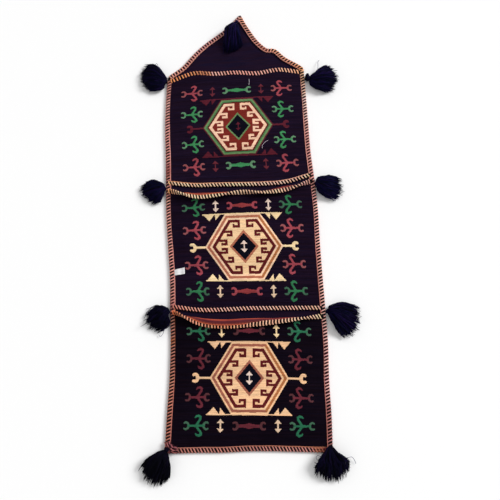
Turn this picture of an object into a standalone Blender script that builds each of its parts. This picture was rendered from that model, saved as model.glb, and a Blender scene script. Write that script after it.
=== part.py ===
# Kilim saddle bag: a long woven strip with a pointed flap, three front pockets sewn onto it,
# overcast edge bindings and nine yarn tassels. It lies on its back as on a table.
# Metres, +Z up, +Y towards the flap. The underside of the back panel is at Z = 0.
#
# Cloth coordinates are x across the strip and y along it from the hem, on cloth lying straight.
# lay() then turns them into the place where the cloth really lies, a little bent and uneven.

import math

import bpy
import bmesh
from mathutils import Vector
from mathutils.geometry import delaunay_2d_cdt

# The strip as woven
STRIP_WIDTH = 0.360
POCKET_PITCH = 0.313
BACK_THICKNESS = 0.0024
FRONT_THICKNESS = 0.0024
RELIEF = 0.0008
SEWN_GAP = 0.0003
MOUTH_GAP = 0.0005

# The strip as it lies: how the four seam rows, from the hem up to the shoulders, are shifted,
# widened and turned
ROW_SHIFT_X = (-0.0043, 0.0032, -0.0013, -0.0043)
ROW_SHIFT_Y = (-0.0009, -0.0043, 0.0031, -0.0035)
ROW_WIDENING = (0.0001, -0.0035, 0.0060, -0.0056)
ROW_TURN_DEG = (-2.2, -2.2, 0.52, 2.15)

# How far the left and right edges lie to the right of that, at each quarter of a pocket
LEFT_EDGE_SHIFT = (-0.0052, -0.0059, -0.0032, -0.0016, -0.0019, -0.0005, -0.0022,
                   -0.0035, -0.0020, -0.0008, -0.0021, -0.0016, 0.0)
RIGHT_EDGE_SHIFT = (0.0007, 0.0018, 0.0007, 0.0028, 0.0016, 0.0, -0.0007,
                    0.0005, -0.0018, -0.0053, -0.0040, -0.0022, 0.0)

# Overcast bindings
BINDING_WIDTH = 0.013
FOOT_BINDING_WIDTH = 0.0104
BINDING_THICKNESS = 0.0066
EDGE_THICKNESS = 0.0080
STITCH_RIDGE = 0.0110
STITCH_SLANT = 0.0018
STITCH_DIP = 0.30

# Lines of the foot bindings from their seam row, at seven places from left to right
HEM_LINE = (-0.0020, -0.0005, 0.0, 0.0030, 0.0030, 0.0015, 0.0)
MIDDLE_FOOT_LINE = (0.0078, 0.0010, 0.0016, 0.0045, 0.0050, 0.0056, 0.0057)
UPPER_FOOT_LINE = (0.0073, -0.0007, -0.0020, -0.0035, -0.0047, -0.0018, 0.0125)

# How far each mouth's edge lies below the next seam row, at the same places
LOWER_MOUTH_DROP = (0.0065, 0.0340, 0.0410, 0.0376, 0.0321, 0.0234, 0.0140)
MIDDLE_MOUTH_DROP = (0.0160, 0.0374, 0.0378, 0.0313, 0.0353, 0.0277, 0.0055)
UPPER_MOUTH_DROP = (0.0080, -0.0080, -0.0002, 0.0007, 0.0067, -0.0020, 0.0062)

# Length of cloth that rolls outwards over each mouth
LOWER_LIP = (0.0050, 0.0195, 0.0225, 0.0210, 0.0163, 0.0130, 0.0040)
MIDDLE_LIP = (0.0040, 0.0170, 0.0150, 0.0060, 0.0135, 0.0165, 0.0040)
UPPER_LIP = (0.0, 0.0, 0.0, 0.0, 0.0, 0.0, 0.0)
LIP_RADIUS = 0.0060
LIP_TURN_LIMIT = math.radians(195)

# How far each mouth gapes in its middle, and the least lift that seats its binding
LOWER_GAPE = 0.0140
MIDDLE_GAPE = 0.0110
UPPER_GAPE = 0.0090
MOUTH_LIFT = 0.0025

# How far each medallion's middle lies above the middle of its pocket
LOWER_PATTERN_SHIFT = 0.0010
MIDDLE_PATTERN_SHIFT = -0.0075
UPPER_PATTERN_SHIFT = -0.0045

# Woven pattern of a pocket, measured from the middle of its medallion
MEDALLION_HALF_WIDTH = 0.0885
MEDALLION_HALF_TOP = 0.0400
MEDALLION_HALF_HEIGHT = 0.0790
OUTER_LINE = 0.0037
COLOUR_BAND = 0.0058
INNER_LINE = 0.0050
HOOK_BAND = 0.0055
HOOK_STROKE = 0.0052
HOOK_TIP = 0.0125
TOP_HOOK_FALL = 0.0177
SIDE_HOOK_FALL = 0.0151
SIDE_HOOKS = ((0.0229, 0.0400), (0.0374, 0.0198))
DIAMOND_HALF_WIDTH = 0.0315
DIAMOND_HALF_HEIGHT = 0.0390
DIAMOND_LINE = 0.0052
SIDE_MOTIF_X = 0.1145
INNER_ROW_SHARE = 0.13674
BORDER_ROW_SHARE = 0.33546
ARROW_X = 0.0620
FORK_X = 0.1185
MOTIF_STROKE = 0.0050
CLAW_HEIGHT = 0.0185
CLAW_DEPTH = 0.0120
SIDE_MOTIF_WIDTH = 0.0570
SIDE_ARM_REACH = 0.0245
SIDE_ARM_LEAN = 0.0120
HORN_HOOK = 0.0160
BAR_LENGTH = 0.0720
BAR_BULGE = 0.0140
ARROW_HEIGHT = 0.0300
ARROW_WIDTH = 0.0146
SAW_LINE = 0.0028
SAW_OUTER_X = 0.0930
SAW_TOOTH = 0.0160

# Label sewn into the left edge of the middle pocket, blank
TAG_LENGTH = 0.0235
TAG_HEIGHT = 0.0140
TAG_THICKNESS = 0.0005
TAG_Y = 0.0900

# The flap's overcast edge, from the left shoulder over the point to the right shoulder,
# with y measured from the shoulder row
FLAP_LEFT_EDGE = ((-0.1690, 0.0080), (-0.1380, 0.0320), (-0.1050, 0.0730),
                  (-0.0740, 0.1045), (-0.0220, 0.1470))
FLAP_POINT = (0.0145, 0.1880)
FLAP_RIGHT_EDGE = ((0.0280, 0.1560), (0.0545, 0.1055), (0.0810, 0.0745),
                   (0.1040, 0.0690), (0.1290, 0.0410), (0.1680, 0.0110))

# Tassels: how far each root lies above its seam row, the heading and length of its neck,
# and the left and right edges of its skirt, measured from the neck's end
NECK_RADIUS = 0.0062
SKIRT_HEIGHT = 0.0240
SKIRT_BOW = 0.0160
SKIRT_RAGGED = 0.0030
HEM_LEFT_TUCK = 0.0080
HEM_LEFT_RISE = 0.0042
ABOVE_ROW = {"shoulder_left": -0.008, "shoulder_right": -0.026, "waist_left": -0.004,
             "waist_right": -0.006, "hip_left": 0.0, "hip_right": 0.0}
HEADING_DEG = {"shoulder_left": 165, "shoulder_right": -2, "waist_left": 198,
               "waist_right": -23, "hip_left": 211, "hip_right": -28,
               "hem_left": 238, "hem_right": -85, "flap": -130}
NECK_LENGTH = {"shoulder_left": 0.006, "shoulder_right": 0.012, "waist_left": 0.005,
               "waist_right": 0.005, "hip_left": 0.008, "hip_right": 0.006,
               "hem_left": 0.008, "hem_right": 0.006, "flap": 0.012}
SKIRT_LEFT = {"shoulder_left": ((-0.001, -0.017), (-0.021, -0.031), (-0.049, -0.026)),
              "shoulder_right": ((0.009, 0.011), (0.034, 0.028), (0.055, 0.038)),
              "waist_left": ((0.002, -0.015), (-0.007, -0.033), (-0.025, -0.041)),
              "waist_right": ((0.003, 0.014), (0.022, 0.016), (0.049, 0.013)),
              "hip_left": ((0.001, -0.010), (0.001, -0.032), (-0.017, -0.047)),
              "hip_right": ((0.002, 0.012), (0.033, 0.018), (0.065, 0.012)),
              "hem_left": ((0.007, -0.013), (0.010, -0.034), (0.004, -0.062)),
              "hem_right": ((0.017, 0.004), (0.031, -0.008), (0.041, -0.025)),
              "flap": ((0.0, -0.015), (0.006, -0.049), (0.008, -0.090))}
SKIRT_RIGHT = {"shoulder_left": ((-0.003, 0.020), (-0.023, 0.045), (-0.049, 0.052)),
               "shoulder_right": ((0.003, -0.019), (0.024, -0.036), (0.057, -0.043)),
               "waist_left": ((-0.001, 0.013), (-0.022, 0.023), (-0.050, 0.018)),
               "waist_right": ((-0.001, -0.023), (0.012, -0.038), (0.029, -0.048)),
               "hip_left": ((-0.005, 0.012), (-0.022, 0.016), (-0.046, 0.009)),
               "hip_right": ((0.002, -0.014), (0.014, -0.042), (0.032, -0.063)),
               "hem_left": ((-0.015, 0.001), (-0.035, -0.009), (-0.052, -0.025)),
               "hem_right": ((-0.020, 0.002), (-0.029, -0.014), (-0.037, -0.034)),
               "flap": ((-0.018, -0.009), (-0.030, -0.035), (-0.032, -0.087))}

WEAVE_COLUMNS = 15
LATTICE = 0.045
MOTIF_CLEARANCE = 0.004
LIP_STEP = 0.0042

HALF_WIDTH = STRIP_WIDTH / 2
HALF_BINDING = BINDING_WIDTH / 2
HALF_FOOT_BINDING = FOOT_BINDING_WIDTH / 2
EDGE_LINE_X = HALF_WIDTH - HALF_BINDING
PANEL_HALF = HALF_WIDTH - BINDING_WIDTH - SEWN_GAP
SEAM_OFFSET = HALF_BINDING + SEWN_GAP
MOUTH_OFFSET = HALF_BINDING + MOUTH_GAP
FRONT_BASE = BACK_THICKNESS + SEWN_GAP
LAST_ROW = len(ROW_SHIFT_Y) - 1
SHOULDER_Y = LAST_ROW * POCKET_PITCH
ROW_Y = [(i - LAST_ROW / 2) * POCKET_PITCH + shift for i, shift in enumerate(ROW_SHIFT_Y)]
SIDE_MOTIF_INNER_Y = POCKET_PITCH * INNER_ROW_SHARE
BORDER_ROW_Y = POCKET_PITCH * BORDER_ROW_SHARE
ROW_STRETCH = [1 + widening / STRIP_WIDTH for widening in ROW_WIDENING]

COLOURS = {
    "ground": (0.013, 0.009, 0.021),
    "green": (0.095, 0.270, 0.125),
    "rose": (0.330, 0.075, 0.085),
    "cream": (0.870, 0.620, 0.350),
    "salmon": (0.400, 0.150, 0.080),
    "maroon": (0.090, 0.014, 0.016),
    "dark_red": (0.130, 0.028, 0.034),
    "brick": (0.220, 0.036, 0.022),
}
THREAD_COLOURS = {
    "peach_thread": (0.690, 0.300, 0.190),
    "orange_thread": (0.760, 0.390, 0.210),
    "navy_yarn": (0.006, 0.007, 0.018),
    "white_tape": (0.820, 0.820, 0.810),
}
RAISED = ("green", "rose", "cream", "salmon", "dark_red")


def clear_scene():
    for old in list(bpy.data.objects):
        bpy.data.objects.remove(old, do_unlink=True)


def cloth_material(name, colour, roughness=0.9):
    material = bpy.data.materials.new(name)
    material.use_nodes = True
    shader = material.node_tree.nodes["Principled BSDF"]
    shader.inputs["Base Color"].default_value = (*colour, 1.0)
    shader.inputs["Roughness"].default_value = roughness
    shader.inputs["Metallic"].default_value = 0.0
    return material


def row_value(values, v):
    """Smooth value at v rows above the hem row, through the four rows."""
    total = 0.0
    for i, value in enumerate(values):
        weight = 1.0
        for j in range(len(values)):
            if j != i:
                weight *= (v - j) / (i - j)
        total += weight * value
    return total


def smooth_at(values, place):
    """Catmull-Rom curve through evenly spaced values, for a place from 0 to 1."""
    last = len(values) - 1
    spot = min(max(place, 0.0), 1.0) * last
    i = min(int(spot), last - 1)
    t = spot - i
    p1 = values[i]
    p2 = values[i + 1]
    p0 = values[i - 1] if i > 0 else 2 * p1 - p2
    p3 = values[i + 2] if i + 2 <= last else 2 * p2 - p1
    return 0.5 * (2 * p1 + (p2 - p0) * t + (2 * p0 - 5 * p1 + 4 * p2 - p3) * t ** 2
                  + (3 * p1 - p0 - 3 * p2 + p3) * t ** 3)


def lay(x, y, z=0.0):
    """Place of a point of the straight cloth on the strip as it lies."""
    v = y / POCKET_PITCH
    held = min(max(v, 0.0), float(LAST_ROW))
    centre_x = row_value(ROW_SHIFT_X, held)
    centre_y = row_value(ROW_Y, held)
    if held != v:
        step = 0.001 if held == 0.0 else -0.001
        centre_x += (v - held) * (row_value(ROW_SHIFT_X, held + step) - centre_x) / step
        centre_y += (v - held) * (row_value(ROW_Y, held + step) - centre_y) / step
    turn = math.radians(row_value(ROW_TURN_DEG, held))
    to_right = (min(max(x / HALF_WIDTH, -1.0), 1.0) + 1) / 2
    across = (x * row_value(ROW_STRETCH, held)
              + smooth_at(LEFT_EDGE_SHIFT, held / LAST_ROW) * (1 - to_right)
              + smooth_at(RIGHT_EDGE_SHIFT, held / LAST_ROW) * to_right)
    return Vector((centre_x + across * math.cos(turn), centre_y + across * math.sin(turn), z))


def column_xs():
    return [PANEL_HALF * (2 * i / WEAVE_COLUMNS - 1) for i in range(WEAVE_COLUMNS + 1)]


def across_pocket(values):
    """Function of x that is straight between the weave columns, so that all edges meet."""
    column_values = [smooth_at(values, i / WEAVE_COLUMNS) for i in range(WEAVE_COLUMNS + 1)]

    def value(x):
        spot = min(max((x / PANEL_HALF + 1) / 2, 0.0), 1.0) * WEAVE_COLUMNS
        i = min(int(spot), WEAVE_COLUMNS - 1)
        return column_values[i] + (column_values[i + 1] - column_values[i]) * (spot - i)

    return value


class PocketFront:
    """Shape of one pocket front: it rises from its foot and rolls over at its mouth."""

    def __init__(self, row, foot_line, half_seam, mouth_drop, lip, gape):
        self.base_y = row * POCKET_PITCH
        self.half_seam = half_seam
        self.foot_line = across_pocket(foot_line)
        self.mouth_line = across_pocket([POCKET_PITCH - drop for drop in mouth_drop])
        self.lip = across_pocket([max(value, 0.0) for value in lip])
        self.gape = across_pocket([gape * (1 - (2 * i / 6 - 1) ** 2) for i in range(7)])

    def lip_length(self, x):
        return max(self.lip(x), 0.0)

    def foot(self, x):
        return self.foot_line(x) + self.half_seam + SEWN_GAP

    def crest(self, x):
        """Cloth y at which the roll begins."""
        roll, rise, turn = self.roll_offset(self.lip_length(x))
        return self.mouth_line(x) - roll - MOUTH_OFFSET * math.cos(turn)

    def edge(self, x):
        return self.crest(x) + self.lip_length(x)

    def roll_offset(self, length):
        """Offsets along and up, and the turn, after a length of cloth past the crest."""
        turn = min(length / LIP_RADIUS, LIP_TURN_LIMIT)
        tail = max(length - LIP_RADIUS * LIP_TURN_LIMIT, 0.0)
        along = LIP_RADIUS * math.sin(turn) + tail * math.cos(turn)
        up = LIP_RADIUS * (1 - math.cos(turn)) + tail * math.sin(turn)
        return along, up, turn

    def profile(self, x, y):
        """Place and lean of the cloth's underside at cloth point x, y of this pocket."""
        foot = self.foot(x)
        crest = self.crest(x)
        lift = MOUTH_LIFT + self.gape(x)
        if y <= crest:
            share = max(y - foot, 0.0) / (crest - foot)
            up = FRONT_BASE + lift * math.sin(share * math.pi / 2)
            slope = lift * math.cos(share * math.pi / 2) * math.pi / 2 / (crest - foot)
            return y, up, math.atan(slope)
        along, up, turn = self.roll_offset(y - crest)
        return crest + along, FRONT_BASE + lift + up, turn

    def point(self, x, y, height):
        """Laid point at a height above the cloth's underside."""
        along, up, turn = self.profile(x, y)
        along -= height * math.sin(turn)
        up += height * math.cos(turn)
        return lay(x, self.base_y + along, up)

    def outline(self, rows):
        """Closed outline in cloth coordinates, anticlockwise from the lower left."""
        xs = column_xs()
        lower = [(x, self.foot(x)) for x in xs]
        upper = [(x, self.edge(x)) for x in xs]
        right = [(xs[-1], lower[-1][1] + (upper[-1][1] - lower[-1][1]) * i / rows)
                 for i in range(1, rows)]
        left = [(xs[0], upper[0][1] + (lower[0][1] - upper[0][1]) * i / rows)
                for i in range(1, rows)]
        return lower + right + upper[::-1] + left

    def lattice(self):
        """Points inside the outline that let the cloth bend."""
        points = []
        for x in column_xs()[1:-1]:
            crest = self.crest(x)
            edge = self.edge(x)
            points.append((x, crest - LIP_STEP))
            level = crest
            while level < edge - LIP_STEP / 2:
                points.append((x, level))
                level += LIP_STEP
        for x in column_xs()[1:-1:2]:
            foot = self.foot(x)
            rows = round((self.crest(x) - foot) / LATTICE)
            for i in range(1, rows):
                points.append((x, foot + (self.crest(x) - foot) * i / rows))
        return points


def inset(outline, distance):
    """Convex anticlockwise outline moved inwards by a distance."""
    shifted = []
    for a, b in zip(outline, outline[1:] + outline[:1]):
        a = Vector(a)
        b = Vector(b)
        inwards = Vector((a.y - b.y, b.x - a.x)).normalized() * distance
        shifted.append((a + inwards, b + inwards))
    corners = []
    for i, (a, b) in enumerate(shifted):
        c, d = shifted[i - 1]
        cross = (b - a).cross(d - c)
        t = (c - a).cross(d - c) / cross
        corners.append(tuple(a + (b - a) * t))
    return corners


def mirrored(outline, across, along):
    """Outline flipped left to right and end to end, kept anticlockwise."""
    flipped = [(x * across, y * along) for x, y in outline]
    return flipped if across * along > 0 else flipped[::-1]


def moved(outline, dx, dy):
    return [(x + dx, y + dy) for x, y in outline]


def claw(reach, stroke):
    """Open jaw pointing to +x whose tips are at reach, without the neck's end."""
    tall = CLAW_HEIGHT / 2
    neck = reach - CLAW_DEPTH
    jaw = neck + stroke
    return [(neck, -stroke / 2), (neck + stroke * 0.7, -tall), (reach, -tall),
            (jaw, -tall + stroke), (jaw, tall - stroke), (reach, tall),
            (neck + stroke * 0.7, tall), (neck, stroke / 2)]


def horn_arm():
    """Upper arm of a side motif with its hook, from the right of its root to the left."""
    root = MOTIF_STROKE * 0.7
    return [(root, MOTIF_STROKE / 2),
            (SIDE_ARM_LEAN + root / 2, SIDE_ARM_REACH - MOTIF_STROKE),
            (SIDE_ARM_LEAN + root / 2 - HORN_HOOK, SIDE_ARM_REACH),
            (SIDE_ARM_LEAN - root, SIDE_ARM_REACH - MOTIF_STROKE * 1.7),
            (-root, MOTIF_STROKE / 2)]


def horn_motif():
    """Bar with a jaw at each end and two hooked arms that lean to the right."""
    right = claw(SIDE_MOTIF_WIDTH / 2, MOTIF_STROKE)
    left = [(-x, -y) for x, y in right]
    upper = horn_arm()
    lower = [(x, -y) for x, y in upper][::-1]
    return right + upper + left + lower


def bar_motif():
    """Bone-shaped bar with a jaw at each end and a bulge in its middle."""
    right = claw(BAR_LENGTH / 2, MOTIF_STROKE)
    left = [(-x, -y) for x, y in right]
    return right + [(0.0, BAR_BULGE / 2)] + left + [(0.0, -BAR_BULGE / 2)]


def arrow_motif():
    tip = ARROW_HEIGHT / 2
    wing = ARROW_WIDTH / 2
    stem = ARROW_WIDTH / 10
    return [(0, -tip), (wing, -tip * 0.45), (stem, -tip * 0.33), (stem, tip * 0.33),
            (wing, tip * 0.45), (0, tip), (-wing, tip * 0.45), (-stem, tip * 0.33),
            (-stem, -tip * 0.33), (-wing, -tip * 0.45)]


def saw_motif():
    """Line along the medallion's top edge with two teeth hanging from each end."""
    bottom = MEDALLION_HALF_HEIGHT
    top = bottom + SAW_LINE
    outer = SAW_OUTER_X
    half = [(outer * 0.57, bottom), (outer * 0.68, bottom - SAW_TOOTH * 0.9),
            (outer * 0.70, bottom), (outer * 0.74, bottom),
            (outer * 0.84, bottom - SAW_TOOTH), (outer, top)]
    return half + [(-x, y) for x, y in half[::-1]]


def fork_motif():
    """Stem from the medallion's side tip to an open jaw."""
    right = claw(FORK_X + CLAW_DEPTH / 2, MOTIF_STROKE)
    start = MEDALLION_HALF_WIDTH - OUTER_LINE
    return [(start, -SAW_LINE / 2), *right, (start, SAW_LINE / 2)]


def medallion_outline():
    return [(MEDALLION_HALF_WIDTH, 0.0), (MEDALLION_HALF_TOP, MEDALLION_HALF_HEIGHT),
            (-MEDALLION_HALF_TOP, MEDALLION_HALF_HEIGHT), (-MEDALLION_HALF_WIDTH, 0.0),
            (-MEDALLION_HALF_TOP, -MEDALLION_HALF_HEIGHT),
            (MEDALLION_HALF_TOP, -MEDALLION_HALF_HEIGHT)]


def slant_x(y, depth):
    """x on the medallion's right slant at height y, a depth inside its outline."""
    tip, corner = inset(medallion_outline(), depth)[:2]
    return tip[0] + (corner[0] - tip[0]) * (y - tip[1]) / (corner[1] - tip[1])


def medallion_hooks():
    """Three square hooks of the upper right quarter, each joined to the hook band."""
    s = HOOK_STROKE
    depth = OUTER_LINE + COLOUR_BAND + INNER_LINE + HOOK_BAND * 0.6
    top = MEDALLION_HALF_HEIGHT - depth
    low = top - TOP_HOOK_FALL
    hooks = [[(s, top), (s, low), (s + HOOK_TIP, low), (s + HOOK_TIP, low + s),
              (2 * s, low + s), (2 * s, top)]]
    for x, y in SIDE_HOOKS:
        low = y - SIDE_HOOK_FALL
        hooks.append([(x, y), (x, low), (x + HOOK_TIP, low), (x + HOOK_TIP, low + s),
                      (x + s, low + s), (x + s, y - s),
                      (slant_x(y - s, depth), y - s), (slant_x(y, depth), y)])
    return hooks


def pattern(line, band, hook, field, diamond_line, diamond, saw, motif_inner, motif_outer,
            bar, arrow):
    """Coloured outlines of a pocket, in the order in which they cover each other."""
    shapes = []
    quarters = ((1, 1), (-1, 1), (-1, -1), (1, -1))
    for side in (1, -1):
        shapes.append((mirrored(saw_motif(), 1, side), saw))
        shapes.append((mirrored(fork_motif(), side, 1), saw))
        shapes.append((moved(bar_motif(), 0, side * BORDER_ROW_Y), bar))
        for row in (1, -1):
            horn = mirrored(horn_motif(), -side, 1)
            x = side * SIDE_MOTIF_X
            shapes.append((moved(horn, x, row * SIDE_MOTIF_INNER_Y), motif_inner))
            shapes.append((moved(horn, x, row * BORDER_ROW_Y), motif_outer))
            shapes.append((moved(arrow_motif(), side * ARROW_X, row * BORDER_ROW_Y), arrow))
    outline = medallion_outline()
    depth = 0.0
    for width, colour in ((OUTER_LINE, line), (COLOUR_BAND, band), (INNER_LINE, line),
                          (HOOK_BAND, hook), (0.0, field)):
        shapes.append((inset(outline, depth), colour))
        depth += width
    for across, along in quarters:
        for outline_of_hook in medallion_hooks():
            shapes.append((mirrored(outline_of_hook, across, along)[::-1], hook))
    frame = [(DIAMOND_HALF_WIDTH, 0), (0, DIAMOND_HALF_HEIGHT),
             (-DIAMOND_HALF_WIDTH, 0), (0, -DIAMOND_HALF_HEIGHT)]
    shapes.append((frame, diamond_line))
    shapes.append((inset(frame, DIAMOND_LINE), diamond))
    shapes.append((arrow_motif(), arrow))
    return shapes


def near_shape(point, shapes):
    """True where a lattice point would lie too close to an outline."""
    spot = Vector(point)
    for outline, colour in shapes:
        for a, b in zip(outline, outline[1:] + outline[:1]):
            a = Vector(a)
            b = Vector(b)
            along = min(max((spot - a).dot(b - a) / (b - a).length_squared, 0.0), 1.0)
            if (a + (b - a) * along - spot).length < MOTIF_CLEARANCE:
                return True
    return False


def triangulate(outline, shapes, lattice):
    """Points and triangles of the cloth, each triangle with the colour that covers it."""
    coords = [Vector(p) for p in outline]
    faces = [list(range(len(outline)))]
    for shape, colour in shapes:
        faces.append(list(range(len(coords), len(coords) + len(shape))))
        coords += [Vector(p) for p in shape]
    coords += [Vector(p) for p in lattice]
    verts, _, found, _, _, sources = delaunay_2d_cdt(coords, [], faces, 1, 1e-6)
    triangles = []
    colours = []
    for triangle, source in zip(found, sources):
        if 0 in source:
            triangles.append(triangle)
            colours.append(shapes[max(source) - 1][1] if max(source) > 0 else "ground")
    return verts, triangles, colours


def link(name, mesh, materials):
    for material in materials:
        mesh.materials.append(material)
    obj = bpy.data.objects.new(name, mesh)
    bpy.context.scene.collection.objects.link(obj)
    return obj


def pocket_front(name, front, shapes, colours):
    """Closed cloth with its raised pattern, as one body."""
    outline = front.outline(8)
    lattice = [p for p in front.lattice() if not near_shape(p, shapes)]
    verts, triangles, covers = triangulate(outline, shapes, lattice)
    under_verts, under_triangles, _ = triangulate(outline, [], front.lattice())
    bm = bmesh.new()
    slots = list(colours)
    layers = {}

    def vertex(i, raised):
        key = (i, raised)
        if key not in layers:
            height = FRONT_THICKNESS + (RELIEF if raised else 0.0)
            layers[key] = bm.verts.new(front.point(*verts[i], height))
        return layers[key]

    sides = {}
    for triangle, cover in zip(triangles, covers):
        raised = cover in RAISED
        face = bm.faces.new([vertex(i, raised) for i in triangle])
        face.material_index = slots.index(cover)
        for a, b in zip(triangle, triangle[1:] + triangle[:1]):
            sides[(a, b)] = (raised, face.material_index)
    for (a, b), (raised, slot) in sides.items():
        if raised and (b, a) in sides and not sides[(b, a)][0]:
            corners = [vertex(a, False), vertex(b, False), vertex(b, True), vertex(a, True)]
            bm.faces.new(corners).material_index = slot
    rim = {}
    under = []
    for i, place in enumerate(under_verts):
        under.append(bm.verts.new(front.point(*place, 0.0)))
        rim[(round(place.x, 6), round(place.y, 6))] = under[-1]
    for triangle in under_triangles:
        bm.faces.new([under[i] for i in reversed(triangle)])
    for (a, b), (raised, slot) in sides.items():
        if (b, a) not in sides:
            low_a, low_b = (rim[(round(verts[i].x, 6), round(verts[i].y, 6))] for i in (a, b))
            bm.faces.new([low_a, low_b, vertex(b, raised), vertex(a, raised)])
    mesh = bpy.data.meshes.new(name)
    bm.to_mesh(mesh)
    bm.free()
    return link(name, mesh, [colours[slot] for slot in slots])


def loft(name, rings, material, paired_ends=False):
    """Closed body through rings of points, all with as many points.

    With paired_ends, each end is closed in strips between the ring's two halves.
    """
    bm = bmesh.new()
    loops = [[bm.verts.new(p) for p in ring] for ring in rings]
    count = len(loops[0])
    for lower, upper in zip(loops, loops[1:]):
        for i in range(count):
            j = (i + 1) % count
            bm.faces.new((lower[i], lower[j], upper[j], upper[i]))
    for loop in (loops[0], loops[-1]):
        if paired_ends:
            for k in range(count // 2):
                strip = [loop[k], loop[k + 1], loop[-k - 1], loop[-k]]
                bm.faces.new(list(dict.fromkeys(strip)))
        else:
            bm.faces.new(loop)
    bmesh.ops.recalc_face_normals(bm, faces=bm.faces)
    mesh = bpy.data.meshes.new(name)
    bm.to_mesh(mesh)
    bm.free()
    return link(name, mesh, [material])


def overcast_section(half, thickness, dip, slant):
    """Corners of a binding as (across, along, up); dip is how low the thread lies here."""
    flat = thickness / 2
    top = flat * (1 - dip)
    side = half * (1 - dip / 4)
    return [(-0.85 * half, 0.0, -flat), (0.85 * half, 0.0, -flat), (side, slant, 0.0),
            (0.5 * half, slant / 2, top), (-0.5 * half, -slant / 2, top),
            (-side, -slant, 0.0)]


def overcast_ring(centre, across, along, up, half, thickness, index, last):
    """One ring of a binding in cloth coordinates, high on a stitch and low between two."""
    at_end = index in (0, last)
    dip = STITCH_DIP if index % 2 else 0.0
    slant = 0.0 if at_end else STITCH_SLANT
    return [centre + across * a + along * b + up * c
            for a, b, c in overcast_section(half, thickness, dip, slant)]


def binding(name, line, half, thickness, material):
    """Binding along a list of (centre, across, along, up) frames in cloth coordinates."""
    rings = []
    for i, (centre, across, along, up) in enumerate(line):
        ring = overcast_ring(centre, across, along, up, half, thickness, i, len(line) - 1)
        rings.append([lay(p.x, p.y, p.z) for p in ring])
    return loft(name, rings, material)


def binding_across(name, places, half, thickness, material):
    """Binding from side to side; places(x) gives its centre, across and up directions.

    It is straight between the weave columns, as the cloth edge that it holds is."""
    columns = [places(x) for x in column_xs()]
    frames = [columns[0]]
    for before, after in zip(columns, columns[1:]):
        frames.append([(a + b) / 2 for a, b in zip(before, after)])
        frames.append(after)
    line = []
    for i, (centre, across, up) in enumerate(frames):
        before = frames[max(i - 1, 0)][0]
        after = frames[min(i + 1, len(frames) - 1)][0]
        line.append((centre, across, (after - before).normalized(), up))
    return binding(name, line, half, thickness, material)


def foot_binding(name, row, foot_line, half, base, thickness, material):
    """Seam binding lying flat at the foot of a pocket."""
    line = across_pocket(foot_line)

    def places(x):
        centre = Vector((x, row * POCKET_PITCH + line(x), base + thickness / 2))
        return centre, Vector((0, -1, 0)), Vector((0, 0, 1))

    return binding_across(name, places, half, thickness, material)


def mouth_binding(name, front, material):
    """Binding on the free edge of a pocket front, turned as the cloth turns."""

    def places(x):
        along, up, turn = front.profile(x, front.edge(x))
        tangent = Vector((0, math.cos(turn), math.sin(turn)))
        normal = Vector((0, -math.sin(turn), math.cos(turn)))
        edge = Vector((x, front.base_y + along, up)) + normal * (FRONT_THICKNESS / 2)
        return edge + tangent * MOUTH_OFFSET, -tangent, normal

    return binding_across(name, places, HALF_BINDING, BINDING_THICKNESS, material)


def side_binding(name, side, material):
    """Edge binding from the hem corner to the shoulder."""
    start = -HALF_BINDING
    end = SHOULDER_Y
    steps = 2 * round((end - start) / STITCH_RIDGE / 2)
    line = []
    for i in range(steps + 1):
        y = start + (end - start) * i / steps
        centre = Vector((side * EDGE_LINE_X, y, EDGE_THICKNESS / 2))
        line.append((centre, Vector((1, 0, 0)), Vector((0, 1, 0)), Vector((0, 0, 1))))
    return binding(name, line, HALF_BINDING, EDGE_THICKNESS, material)


def smooth_path(points, spacing):
    """Points along a Catmull-Rom curve through points, at about a spacing."""
    ghost = [points[0] * 2 - points[1], *points, points[-1] * 2 - points[-2]]
    fine = []
    for i in range(1, len(ghost) - 2):
        p0, p1, p2, p3 = ghost[i - 1:i + 3]
        steps = max(1, round((p2 - p1).length / spacing))
        for k in range(steps):
            t = k / steps
            fine.append(0.5 * (2 * p1 + (p2 - p0) * t + (2 * p0 - 5 * p1 + 4 * p2 - p3) * t ** 2
                               + (3 * p1 - p0 - 3 * p2 + p3) * t ** 3))
    return fine + [points[-1]]


def flap_edge(spacing):
    """Middle line of the flap's binding in cloth coordinates, shoulder to shoulder."""
    shoulder = Vector((0, SHOULDER_Y))
    start = Vector((-EDGE_LINE_X, SEWN_GAP)) + shoulder
    end = Vector((EDGE_LINE_X, SEWN_GAP)) + shoulder
    point = Vector(FLAP_POINT) + shoulder
    left = [start] + [Vector(p) + shoulder for p in FLAP_LEFT_EDGE] + [point]
    right = [point] + [Vector(p) + shoulder for p in FLAP_RIGHT_EDGE] + [end]
    return smooth_path(left, spacing), smooth_path(right, spacing)


def edge_sides(points):
    """Left-hand direction at each point of a line, lengthened at its corners."""
    sides = []
    for i, spot in enumerate(points):
        if i in (0, len(points) - 1):
            sides.append(Vector((-1, 0)) if i == 0 else Vector((1, 0)))
            continue
        before = (spot - points[i - 1]).normalized()
        after = (points[i + 1] - spot).normalized()
        middle = (before + after).normalized()
        stretch = 1 / max(middle.dot(after), 0.5)
        sides.append(Vector((-middle.y, middle.x)) * stretch)
    return sides


def flap_binding(name, material):
    """One binding over both slopes of the flap, mitred at its point."""
    left, right = flap_edge(STITCH_RIDGE)
    points = left + right[1:]
    line = []
    for spot, side in zip(points, edge_sides(points)):
        along = Vector((side.y, -side.x)).normalized()
        centre = Vector((spot.x, spot.y, EDGE_THICKNESS / 2))
        line.append((centre, side.to_3d(), along.to_3d(), Vector((0, 0, 1))))
    return binding(name, line, HALF_BINDING, EDGE_THICKNESS, material)


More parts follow.
